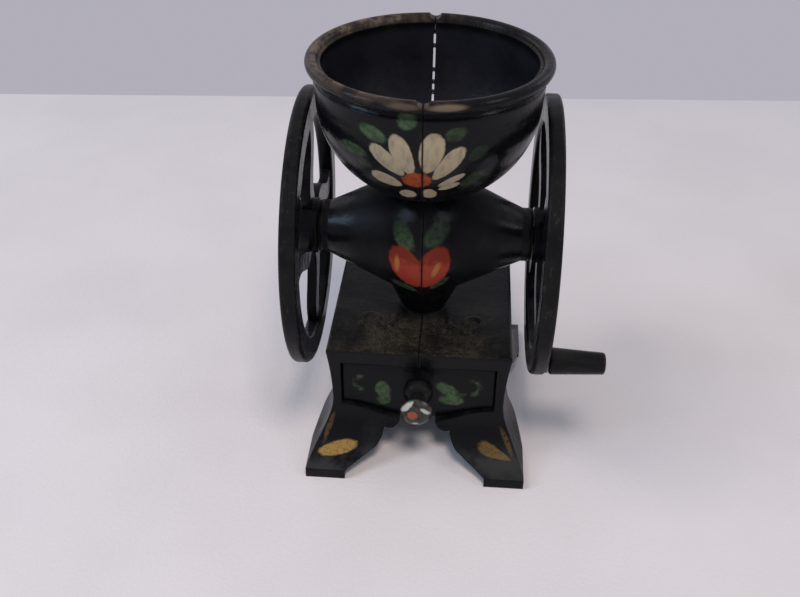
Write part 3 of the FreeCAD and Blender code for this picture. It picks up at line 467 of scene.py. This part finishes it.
# Dabs on the feet in plan: across (X), along (Y), half length, half width, tilt, taper, strength
FOOT_DABS = ((-27.7, -38.4, 6.8, 2.2, 14.0, 0.0, 1.0), (27.9, -37.2, 5.9, 1.7, -18.0, -0.5, 0.36))
DRAWER_LEAVES = (
    (-12.5, 26.9, 3.4, 2.6, 100.0, 1.0),
    (-12.1, 22.6, 2.6, 2.3, 60.0, 0.8),
    (10.1, 28.3, 4.3, 2.3, 148.0, 1.0),
    (11.7, 23.6, 4.2, 2.2, -5.0, 1.0),
    (15.4, 26.0, 1.9, 0.9, 25.0, 0.4),
)
# Curls on the drawer: across (X), up (Z), the side their bow is on
CURLS = ((-19.8, 29.4, -1.0), (18.8, 29.6, 1.0))
# Bright strokes on the front of the rim, the right one a painted glint: across, half length,
# strength
RIM_DABS_AND_GLINT = ((-5.6, 4.4, 0.30), (7.0, 5.0, 0.65))


def paint_daisy(coat, plane, front):
    """A daisy of cream petals round an orange heart."""
    edge = coat.wobble * 0.6
    petals = [
        coat.dab(plane, (x, z), (along, across), tilt, edge, 0.15, taper)
        for x, z, along, across, tilt, taper in DAISY
    ]
    mask = coat.any_of(petals) * front
    streaks = coat.noise(1.7, 2.0, 0.5, stretch=(1.0, 1.0, 0.4), shift=(2.0, 4.0, 6.0))
    thick = (streaks * 0.9 + coat.specks * 0.1).ease(0.22, 0.58)
    coat.lay(coat.shades("petal_shade", "petal", thick), mask * 0.97, 0.46, 1.6)
    x, z, along, across, tilt = DAISY_HEART
    heart = coat.dab(plane, (x, z), (along, across), tilt, coat.wobble * 1.5, 0.2) * front
    tone = coat.shades("blossom", "berry_deep", coat.specks.ease(0.45, 0.68))
    coat.lay(tone, heart * 0.96, 0.42, 1.6)


def paint_leaves(coat, plane, front, leaves):
    """Green dabs, lighter where the paint is thick."""
    thick = (coat.specks * 0.5 + coat.dents * 0.5).ease(0.40, 0.62)
    tone = coat.shades("leaf", "leaf_light", thick)
    edge = coat.wobble * 1.3
    for x, z, along, across, tilt, strength in leaves:
        mask = coat.dab(plane, (x, z), (along, across), tilt, edge, 0.5) * front
        coat.lay(tone, mask * (0.9 * strength), 0.34, 0.8)


def paint_berry(coat, plane, front):
    """A strawberry of two lobes, one on each side of the seam, with yellow strokes."""
    edge = coat.wobble * 0.6
    lobes = [
        coat.dab(plane, (x, z), (along, across), tilt, edge, 0.16)
        for x, z, along, across, tilt in BERRY
    ]
    mask = coat.any_of(lobes) * front
    thin = (coat.dents * 0.6 + coat.z.ease(*BERRY_FADE_Z) * 0.4).ease(0.36, 0.62)
    coat.lay(coat.shades("berry", "berry_deep", thin), mask * 0.96, 0.36, 1.4)
    for x, z, along, across, tilt in SEEDS:
        mask = coat.dab(plane, (x, z), (along, across), tilt, coat.wobble, 0.8) * front
        coat.lay("seed", mask * 0.75, 0.40, 0.6)


def paint_feet(coat, elevation, front):
    """Dust with painted sheen and gold dabs on the toes, and gold stripes on the feet's edges."""
    plan = coat.flat(coat.x, coat.y)
    toes = coat.z.ease(*TOE_FADE_Z) * coat.facing("Z").ease(0.3, 0.9)
    # Painted sheen: the toes' tops are laid with grey, partly as dirt and partly as their sheen.
    coat.lay("dust_and_sheen", toes * coat.patches.ease(0.30, 0.62) * 0.8, 0.6)
    low = (coat.z < TOE_HIGH_Z) * (coat.z > TOE_TOP_Z) * front
    flecks = (coat.specks * 0.5 + coat.grain * 0.5).ease(0.36, 0.52)
    edge = coat.wobble * 0.9
    for x, y, along, across, tilt, taper, strength in FOOT_DABS:
        dab = coat.dab(plan, (x, y), (along, across), tilt, edge, 0.26, taper) * low
        coat.lay("gold", dab * (flecks * 0.75 + 0.25) * strength, 0.42, 1.0)
    for x, z, along, across, tilt in FOOT_STRIPES:
        stripe = coat.dab(elevation, (x, z), (along, across), tilt, coat.wobble, 0.7) * front
        coat.lay("gold", stripe * flecks * 0.22, 0.42)


def rim_wear_and_glint(coat):
    """The bead of the hopper, rubbed to a bronze tone, most on its inner edge and at the left, with
    bright dabs at its front, the right one a painted glint.
    """
    bead = coat.z.ease(BEAD_Z - 0.9, BEAD_Z + 0.9)
    out = coat.reach(coat.flat(coat.x, coat.y))
    inner = out.ease(BEAD_RING_R + 1.5, BEAD_RING_R - 0.5)
    leftness = (coat.x * -0.024 + 0.42 + (coat.patches - 0.5) * 0.9).ease(0.12, 0.95)
    streaks = coat.noise(6.0, 3.0, 0.55, shift=(2.0, 8.0, 3.0)).ease(0.34, 0.60)
    rub = bead * (leftness * 0.7 + inner * 0.15) * (streaks * 0.75 + 0.15)
    coat.lay("bronze_rub", rub * 0.95, 0.42)
    bright = bead * inner * leftness * streaks * coat.dents.ease(0.40, 0.62)
    coat.lay("bright_rub_and_glint", bright * 0.45, 0.36)
    elevation = coat.flat(coat.x, coat.z)
    front = (coat.y - BEAD_FRONT_Y).ease(1.0, -1.0)
    # The right dab, beside the seam, paints a glint on the rim's front.
    for x, half, strength in RIM_DABS_AND_GLINT:
        dab = coat.dab(elevation, (x, BEAD_Z + 0.5), (half, 0.9), 0.0, coat.wobble, 0.9)
        coat.lay("bright_rub_and_glint", dab * front * strength, 0.34)


def wear_arms(coat):
    """Enamel gone dull on the arms, apart from their ends."""
    out = abs(coat.x)
    height = coat.z.ease(PLATE_Z + 4.0, PLATE_Z + 8.0) * coat.z.ease(BOWL_LOW_Z + 6.0, BOWL_LOW_Z)
    arms = out.ease(*ARM_ROOT_X) * out.ease(*ARM_END_X) * height
    coat.rough = coat.blend(coat.rough, 0.46, arms)


def paint_hopper_sheen(coat):
    """Painted sheen: a lighter, bluish tone in patches on the hopper's inner faces."""
    normal = coat.node("ShaderNodeNewGeometry", output="Normal")
    outward = coat.node(
        "ShaderNodeVectorMath", {"operation": "DOT_PRODUCT"},
        {0: normal, 1: coat.flat(coat.x, coat.y)}, "Value",
    )
    bowl = coat.z.ease(BOWL_LOW_Z, BOWL_LOW_Z + 8.0) * coat.z.ease(BEAD_Z - 1.0, BEAD_Z - 4.0)
    inside = outward.ease(0.0, -4.0) * bowl
    # Painted sheen on the faces that look into the hopper.
    coat.lay("film", inside * (coat.patches.ease(0.3, 0.7) * 0.5 + 0.5), 0.42)


def plate_wear_and_shade(coat):
    """Dull, grainy top of the base, where the enamel is gone, laid thin at the back and sides,
    which paints the shade under the body.
    """
    level = abs(coat.z - (PLATE_Z + 0.2)).ease(1.1, 0.4)
    # Painted shade: the grain goes mostly on the plate's front middle, so the back and sides stay
    # dark as if shaded by the body.
    middle = (coat.y + 4.0).ease(0.0, -14.0) * abs(coat.x + 2.0).ease(34.0, 14.0)
    speckle = (coat.specks * 0.35 + coat.grain * 0.35 + coat.patches * 0.3).ease(0.42, 0.62)
    tone = coat.shades("plate", "plate_grain", speckle)
    coat.lay(tone, level * (middle * 0.75 + 0.2), 0.62)


def wear_seam(coat):
    """Dark seam between the halves, with a little rust that has crept out of it."""
    near = abs(coat.x).ease(0.85, 0.25)
    coat.lay("rust", near * coat.specks.ease(0.40, 0.64) * 0.45, 0.7)
    coat.lay("seam", abs(coat.x).ease(0.42, 0.14) * 0.85, 0.8)


class MILL_OT_castings(bpy.types.Operator):
    """Paint the two body castings with black enamel, flowers, gold dabs and wear, with painted
    sheen, glints and shade
    """

    bl_idname = "mill.castings"
    bl_label = "Castings"

    def execute(self, context):
        coat = Enamel("castings_enamel")
        elevation = coat.flat(coat.x, coat.z)
        front = (coat.y - FRONT_Y).ease(1.0, -1.0)
        wear_arms(coat)
        paint_hopper_sheen(coat)
        plate_wear_and_shade(coat)
        rim_wear_and_glint(coat)
        outside = front * coat.facing("Y").ease(0.05, -0.10)
        paint_leaves(coat, elevation, outside, BOWL_LEAVES + BODY_LEAVES)
        paint_daisy(coat, elevation, outside)
        paint_berry(coat, elevation, outside)
        paint_feet(coat, elevation, front)
        wear_seam(coat)
        dress(coat.done(), "left_casting", "right_casting")
        return {"FINISHED"}


class MILL_OT_wheels(bpy.types.Operator):
    """Paint the flywheels, with their treads and rims' edges rubbed"""

    bl_idname = "mill.wheels"
    bl_label = "Flywheels"

    def execute(self, context):
        coat = Enamel("wheels_enamel")
        out = coat.reach(coat.flat(coat.y, coat.z - AXLE_Z))
        tread = out.ease(WHEEL_R - 0.9, WHEEL_R - 0.1)
        scuffs = coat.noise(2.0, 5.0, 0.66, stretch=(1.6, 0.8, 0.8), shift=(4.0, 4.0, 1.0))
        scuffed = (scuffs * 0.8 + coat.patches * 0.2).ease(0.56, 0.64) * 0.5
        coat.lay("tread", tread * (coat.patches.ease(0.3, 0.7) * 0.5 + 0.3), 0.4)
        coat.lay("scuff", tread * scuffed, 0.5)
        middle = (RIM_IN_X + RIM_OUT_X) / 2
        sides = abs(abs(coat.x) - middle).ease(1.9, 2.6) * out.ease(RIM_IN_R - 0.6, RIM_IN_R)
        outer_edge = out.ease(WHEEL_R - 1.3, WHEEL_R - 0.2)
        inner_edge = out.ease(RIM_IN_R + 1.1, RIM_IN_R + 0.2)
        rubbed = sides * (outer_edge.either(inner_edge) * 0.8 + 0.2)
        coat.lay("brink", rubbed * coat.specks.ease(0.42, 0.66) * 0.5, 0.45)
        dress(coat.done(WHEEL_SHEEN), "left_wheel", "right_wheel")
        return {"FINISHED"}


class MILL_OT_crank(bpy.types.Operator):
    """Paint the crank's grip, worn by the hand"""

    bl_idname = "mill.crank"
    bl_label = "Crank"

    def execute(self, context):
        coat = Enamel("grip_enamel")
        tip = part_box("crank_grip")[1].x / MM
        end = coat.x.ease(tip - GRIP_END, tip)
        streaks = coat.noise(3.0, 4.0, 0.6, stretch=(0.4, 1.0, 1.0), shift=(7.0, 3.0, 2.0))
        coat.lay("handled", (streaks.ease(0.40, 0.70) * 0.55).either(end * 0.5), 0.26)
        dress(coat.done(), "crank_grip")
        return {"FINISHED"}


def steel(name, tone, roughness, brushed, rust=0.25):
    """Bare metal with fine marks and a little rust."""
    coat = Coat(name)
    marks = coat.noise(0.35, 4.0, 0.6, stretch=brushed, shift=(2.0, 5.0, 3.0))
    stains = coat.noise(3.2, 4.0, 0.62, shift=(9.0, 1.0, 4.0))
    spots = stains.ease(0.52, 0.72) * rust
    darker = tuple(0.55 * part for part in tone)
    shade = coat.mix(darker, tone, marks.ease(0.25, 0.70))
    shade = coat.mix(shade, bpy.context.scene.mill_metal.rust, spots)
    rough = coat.blend(roughness, 0.75, spots) + (marks - 0.5) * 0.22
    return coat.finish(
        shade, rough, marks, depth=0.00002, metallic=1.0 - spots, edge=0.00025
    )


class MILL_OT_works(bpy.types.Operator):
    """Finish the shaft, screws, pins, bearings and the grinding works"""

    bl_idname = "mill.works"
    bl_label = "Shaft and works"

    def execute(self, context):
        tones = context.scene.mill_metal
        dress(
            steel("screw_steel", tones.steel, 0.38, (1.0, 0.25, 0.25)),
            "main_shaft", "body_tie_screw", "body_tie_nut", "base_tie_screw", "base_tie_nut",
            "left_wheel_pin", "right_wheel_pin", "left_wheel_washer", "right_wheel_washer",
            "crank_pin", "crank_washer", "worm_pin", "burr_pin", "fixed_burr_screws", "knob_screw",
        )
        dress(
            steel("oiled_bronze", tones.bronze, 0.5, (1.0, 0.3, 0.3), 0.1),
            "left_bush", "right_bush",
        )
        dress(
            steel("ground_iron", tones.iron, 0.5, (0.3, 1.0, 1.0), 0.35),
            "feed_worm", "fixed_burr", "turning_burr",
        )
        return {"FINISHED"}


def thicken(mesh, height):
    """Extrudes a flat mesh upwards into a closed body."""
    top = bmesh.ops.extrude_face_region(mesh, geom=mesh.faces[:])
    raised = [part for part in top["geom"] if isinstance(part, bmesh.types.BMVert)]
    bmesh.ops.translate(mesh, verts=raised, vec=(0.0, 0.0, height))
    bmesh.ops.recalc_face_normals(mesh, faces=mesh.faces[:])


def round_off(mesh, edges, offset, segments):
    bmesh.ops.bevel(
        mesh, geom=edges, offset=offset, affect="EDGES", segments=segments, profile=0.5, material=-1
    )


def ring_edges(verts):
    """The edges at the points of a ring, each once and always in the same order."""
    return list(dict.fromkeys(edge for vert in verts for edge in vert.link_edges))


def add_piece(name, mesh, material, body, slot, *stands_for):
    """Turns a bmesh into a piece of the mill that rides on a body."""
    if not mesh.faces:
        raise RuntimeError(name + " has no faces")
    data = bpy.data.meshes.new(name)
    mesh.to_mesh(data)
    mesh.free()
    data.materials.append(material)
    piece = bpy.data.objects.new(name, data)
    bpy.context.scene.collection.objects.link(piece)
    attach(piece, body)
    if stands_for:
        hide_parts(*stands_for)


class MILL_OT_nuts(bpy.types.Operator):
    """Make the chamfered nuts on the shaft's ends"""

    bl_idname = "mill.nuts"
    bl_label = "Shaft nuts"

    def execute(self, context):
        sizes = context.scene.mill_hardware
        finish = bpy.data.materials["screw_steel"]
        for side, name in ((-1, "left"), (1, "right")):
            low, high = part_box(name + "_wheel_nut")
            corner = (high.y - low.y) / 2
            thick = high.x - low.x
            mesh = bmesh.new()
            outer = bmesh.ops.create_circle(mesh, segments=sizes.nut_sides, radius=corner)["verts"]
            bmesh.ops.subdivide_edges(mesh, edges=ring_edges(outer), cuts=NUT_CUTS)
            count = len(mesh.verts)
            outline = mesh.edges[:]
            bore = bmesh.ops.create_circle(mesh, segments=count, radius=sizes.nut_bore)["verts"]
            bmesh.ops.bridge_loops(mesh, edges=outline + ring_edges(bore))
            thicken(mesh, thick)
            clear_of_bore = sizes.nut_bore * 1.3
            bend = [
                edge for edge in mesh.edges
                if all(
                    vert.co.z > thick / 2 and vert.co.xy.length > clear_of_bore
                    for vert in edge.verts
                )
                and edge.calc_face_angle(0.0) > NUT_CORNER_ANGLE
            ]
            round_off(mesh, bend, sizes.nut_chamfer, 2)
            turn = Matrix.Rotation(math.radians(90.0 * side), 4, "Y")
            start = low.x if side > 0 else high.x
            middle = Vector((start, (low.y + high.y) / 2, (low.z + high.z) / 2))
            bmesh.ops.transform(mesh, matrix=Matrix.Translation(middle) @ turn, verts=mesh.verts[:])
            bmesh.ops.recalc_face_normals(mesh, faces=mesh.faces[:])
            add_piece(
                name + "_chamfered_nut", mesh, finish, "rotor", "steel", name + "_wheel_nut"
            )
        return {"FINISHED"}


class MILL_OT_drawer(bpy.types.Operator):
    """Paint the drawer's front and boss, finish its tray and knob"""

    bl_idname = "mill.drawer"
    bl_label = "Drawer"

    def execute(self, context):
        coat = Enamel("drawer_enamel")
        plane = coat.flat(coat.x, coat.z)
        face_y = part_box("drawer_front")[0].y / MM
        face = (coat.y - (face_y + 0.4)).ease(0.2, -0.2)
        paint_leaves(coat, plane, face, DRAWER_LEAVES)
        for x, z, side in CURLS:
            local = coat.node(
                "ShaderNodeMapping", {"vector_type": "TEXTURE"},
                {
                    "Vector": plane,
                    "Location": Vector((x, z, 0.0)),
                    "Scale": Vector((*CURL_HALF, 1.0)),
                },
            )
            open_side = ((coat.x - x) * side).ease(-1.3, 0.7)
            bow = (abs(coat.reach(local) - 0.85) + coat.wobble).ease(0.42, 0.06)
            thick = coat.dents.ease(0.34, 0.60) * 0.5
            coat.lay("leaf_light", bow * open_side * face * thick, 0.38, 0.5)
        dress(coat.done(), "drawer_front")
        dress(Enamel("boss_enamel").done(), "knob_rosette")
        tin = context.scene.mill_metal.tinplate
        tray = steel("tray_tinplate", tin, 0.40, (0.2, 1.0, 1.0), 0.3)
        dress(tray, "drawer_tray", "drawer_rivets")
        dress(knob_nickel(), "drawer_knob")
        return {"FINISHED"}


# Strokes on the knob's face, which also paint its glints: across (X), up from the middle, half
# length, half width, tilt
KNOB_STROKES = (
    (-3.4, 3.1, 3.0, 0.8, 45.0),
    (3.2, 2.0, 2.0, 0.55, -38.0),
    (-0.2, -3.2, 1.1, 0.5, 5.0),
)
KNOB_HEART = (-1.1, 0.4, 1.75, 1.6, 0.0)
KNOB_DARK = (-3.0, 1.2, 1.4, 1.2, 20.0)


def knob_nickel():
    """Worn nickel with a small flower painted on the face; its white strokes also paint the glints
    on the knob's edges.
    """
    coat = Coat("knob_nickel")
    tones = bpy.context.scene.mill_metal
    plane = coat.flat(coat.x, coat.z)
    wobble = (coat.noise(1.1, 3.0, 0.55, shift=(3.0, 2.0, 1.0)) - 0.5) * 0.9
    stains = coat.noise(1.6, 4.0, 0.6, shift=(4.0, 8.0, 2.0))
    tone = coat.mix(tones.nickel, tones.stain, stains.ease(0.40, 0.66))
    # Black on the stem, which also paints the shade between the boss and the knob's head.
    tone = coat.mix(tone, tones.stem, (coat.y - KNOB_STEM_Y).ease(-0.4, 0.4))
    face = (coat.y - KNOB_FACE_Y).ease(0.4, -0.4)

    def stroke(x, up, along, across, tilt, soft):
        return coat.dab(plane, (x, KNOB_Z + up), (along, across), tilt, wobble, soft) * face

    white = coat.any_of([stroke(*place, 0.6) for place in KNOB_STROKES])
    heart = stroke(*KNOB_HEART, 0.4)
    tone = coat.mix(tone, tones.knob_dark, stroke(*KNOB_DARK, 0.5) * 0.9)
    tone = coat.mix(tone, tones.knob_white_and_glint, white * 0.9)
    tone = coat.mix(tone, tones.knob_heart, heart * 0.95)
    rough = coat.blend(0.28, 0.40, white.either(heart)) + (stains - 0.5) * 0.2
    return coat.finish(
        tone, rough, stains, depth=0.00003, edge=0.0003, specular=0.35, coat=0.1
    )


class MILL_OT_tray_hem(bpy.types.Operator):
    """Fold the tray's top edge into a hem"""

    bl_idname = "mill.tray_hem"
    bl_label = "Tray hem"

    def execute(self, context):
        sizes = context.scene.mill_hardware
        low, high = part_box("drawer_tray")
        mesh = bmesh.new()
        bmesh.ops.create_grid(mesh, x_segments=1, y_segments=1, size=0.5)
        proud = 2 * sizes.hem_proud
        spread = Matrix.Diagonal((high.x - low.x + proud, high.y - low.y + proud, 1.0, 1.0))
        bmesh.ops.transform(mesh, matrix=spread, verts=mesh.verts[:])
        inner = mesh.faces[:]
        bmesh.ops.inset_region(
            mesh, faces=inner, thickness=sizes.hem, use_boundary=True, use_even_offset=True
        )
        bmesh.ops.delete(mesh, geom=inner, context="FACES")
        thicken(mesh, sizes.hem_height)
        sharp = [edge for edge in mesh.edges if edge.calc_face_angle(0.0) > FOLD_ANGLE]
        round_off(mesh, sharp, sizes.hem * 0.3, 3)
        for face in mesh.faces:
            face.smooth = True
        sunk = sizes.hem_height - sizes.hem_proud
        place = Vector(((low.x + high.x) / 2, (low.y + high.y) / 2, high.z - sunk))
        bmesh.ops.translate(mesh, verts=mesh.verts[:], vec=place)
        tin = bpy.data.materials["tray_tinplate"]
        add_piece("tray_hem", mesh, tin, "drawer", "tinplate")
        return {"FINISHED"}


def area_light(name, place, aim, size, watts, tone):
    data = bpy.data.lights.new(name, "AREA")
    data.shape = "RECTANGLE"
    data.size, data.size_y = size
    data.energy = watts
    data.color = tone
    lamp = bpy.data.objects.new(name, data)
    lamp.location = place
    lamp.rotation_mode = "QUATERNION"
    lamp.rotation_quaternion = (Vector(aim) - Vector(place)).to_track_quat("-Z", "Y")
    bpy.context.scene.collection.objects.link(lamp)
    return lamp


CAMERA_PLACE = (0.012656, -0.299005, 0.253991)
CAMERA_YAW = math.radians(4.09)
CAMERA_PITCH = math.radians(34.69)
CAMERA_ROLL = math.radians(0.5)
SENSOR_WIDTH = 36.0
FLOOR_BACK = 0.290
FLOOR_REACH = 0.9
FOLD_SHADE = 0.955      # how dark the cloth is between its folds

WARM = (1.0, 0.93, 0.86)
PALE_BLUE = (0.94, 0.97, 1.0)
# Lights: setting that holds the power, place, height of the aim, size, tone, seen in reflections
LAMPS = (
    ("window", (-0.68, -0.26, 0.54), 0.08, (0.22, 0.30), (0.55, 0.75, 1.0), True),
    ("fill", (0.60, -0.26, 0.50), 0.07, (0.16, 0.30), (0.90, 0.95, 1.0), True),
    ("back_light", (-0.62, 0.52, 0.46), 0.07, (0.30, 0.36), PALE_BLUE, True),
    ("back_light", (0.62, 0.52, 0.46), 0.07, (0.30, 0.36), PALE_BLUE, True),
    ("front_lamp", (0.13, -0.60, 1.17), 0.05, (0.32, 0.32), WARM, False),
    ("side_lamp", (-0.60, -0.10, 1.12), 0.05, (0.46, 0.46), WARM, False),
)


class MILL_OT_stage(bpy.types.Operator):
    """Set the pale floor, the backdrop, the lights and the camera"""

    bl_idname = "mill.stage"
    bl_label = "Stage"

    def execute(self, context):
        scene = context.scene
        settings = scene.mill_stage
        mesh = bmesh.new()
        bmesh.ops.create_grid(mesh, x_segments=1, y_segments=1, size=FLOOR_REACH)
        bmesh.ops.translate(mesh, verts=mesh.verts[:], vec=(0.0, FLOOR_BACK - FLOOR_REACH, 0.0))
        bmesh.ops.rotate(mesh, verts=mesh.verts[:], matrix=Matrix.Rotation(CAMERA_YAW, 3, "Z"))
        data = bpy.data.meshes.new("floor")
        mesh.to_mesh(data)
        mesh.free()
        floor = bpy.data.objects.new("floor", data)
        scene.collection.objects.link(floor)
        cloth = Coat("pale_cloth")
        weave = cloth.noise(1.4, 4.0, 0.6)
        folds = cloth.noise(60.0, 2.0, 0.5)
        pale = tuple(settings.floor)
        shade = tuple(FOLD_SHADE * part for part in pale)
        tone = cloth.mix(shade, pale, folds.ease(0.3, 0.7))
        data.materials.append(cloth.finish(tone, 0.95, weave, 0.0002, specular=0.1))
        self.light(scene, settings)
        self.look(scene, settings)
        return {"FINISHED"}

    def light(self, scene, settings):
        """The lamps, and a world that shows the backdrop but gives an even, cool light."""
        for name, place, aim, size, tone, mirrored in LAMPS:
            watts = getattr(settings, name)
            lamp = area_light(name, place, (0.0, 0.0, aim), size, watts, tone)
            lamp.visible_glossy = mirrored
        world = bpy.data.worlds.new("backdrop")
        scene.world = world
        world.use_nodes = True
        tree = world.node_tree
        tree.nodes.clear()
        path = tree.nodes.new("ShaderNodeLightPath")
        seen = path.outputs["Is Camera Ray"]
        for ray in ("Is Glossy Ray", "Is Transmission Ray"):
            either = tree.nodes.new("ShaderNodeMath")
            either.operation = "MAXIMUM"
            tree.links.new(seen, either.inputs[0])
            tree.links.new(path.outputs[ray], either.inputs[1])
            seen = either.outputs[0]
        even = tree.nodes.new("ShaderNodeBackground")
        even.inputs["Color"].default_value = (*settings.sky, 1.0)
        even.inputs["Strength"].default_value = settings.ambient
        shown = tree.nodes.new("ShaderNodeBackground")
        shown.inputs["Color"].default_value = (*settings.backdrop, 1.0)
        shown.inputs["Strength"].default_value = 1.0
        mix = tree.nodes.new("ShaderNodeMixShader")
        tree.links.new(seen, mix.inputs[0])
        tree.links.new(even.outputs[0], mix.inputs[1])
        tree.links.new(shown.outputs[0], mix.inputs[2])
        output = tree.nodes.new("ShaderNodeOutputWorld")
        tree.links.new(mix.outputs[0], output.inputs[0])

    def look(self, scene, settings):
        """The camera, at the photograph's viewing angle."""
        data = bpy.data.cameras.new("camera")
        data.sensor_width = SENSOR_WIDTH
        data.lens = settings.lens
        data.clip_start = 0.01
        data.dof.use_dof = False
        camera = bpy.data.objects.new("camera", data)
        forward = Vector((
            -math.sin(CAMERA_YAW) * math.cos(CAMERA_PITCH),
            math.cos(CAMERA_YAW) * math.cos(CAMERA_PITCH),
            -math.sin(CAMERA_PITCH),
        ))
        right = Vector((math.cos(CAMERA_YAW), math.sin(CAMERA_YAW), 0.0))
        up = right.cross(forward)
        across = right * math.cos(CAMERA_ROLL) + up * math.sin(CAMERA_ROLL)
        rise = up * math.cos(CAMERA_ROLL) - right * math.sin(CAMERA_ROLL)
        turn = Matrix((across, rise, -forward)).transposed().to_4x4()
        camera.matrix_world = Matrix.Translation(CAMERA_PLACE) @ turn
        scene.collection.objects.link(camera)
        scene.camera = camera
        scene.view_settings.view_transform = "Standard"


OPERATORS = (
    MILL_OT_castings, MILL_OT_wheels, MILL_OT_crank, MILL_OT_works, MILL_OT_nuts,
    MILL_OT_drawer, MILL_OT_tray_hem, MILL_OT_stage,
)


class MILL_PT_pieces(bpy.types.Panel):
    """Lists what the mill is finished with"""

    bl_idname = "MILL_PT_pieces"
    bl_label = "Coffee mill"
    bl_space_type = "VIEW_3D"
    bl_region_type = "UI"
    bl_category = "Mill"

    def draw(self, context):
        for operator in OPERATORS:
            self.layout.operator(operator.bl_idname)
        for group in GROUPS:
            settings = getattr(context.scene, group)
            for key in settings.__annotations__:
                self.layout.prop(settings, key)


GROUPS = {
    "mill_paint": MillPaint,
    "mill_metal": MillMetal,
    "mill_finish": MillFinish,
    "mill_hardware": MillHardware,
    "mill_stage": MillStage,
}


def register():
    for kind in (*GROUPS.values(), *OPERATORS, MILL_PT_pieces):
        bpy.utils.register_class(kind)
    for name, kind in GROUPS.items():
        setattr(bpy.types.Scene, name, PointerProperty(type=kind))


def unregister():
    for name in GROUPS:
        delattr(bpy.types.Scene, name)
    for kind in reversed((*GROUPS.values(), *OPERATORS, MILL_PT_pieces)):
        bpy.utils.unregister_class(kind)


def main():
    register()
    for operator in OPERATORS:
        group, name = operator.bl_idname.split(".")
        getattr(getattr(bpy.ops, group), name)()
    bpy.context.view_layer.update()


if __name__ == "__main__":
    main()
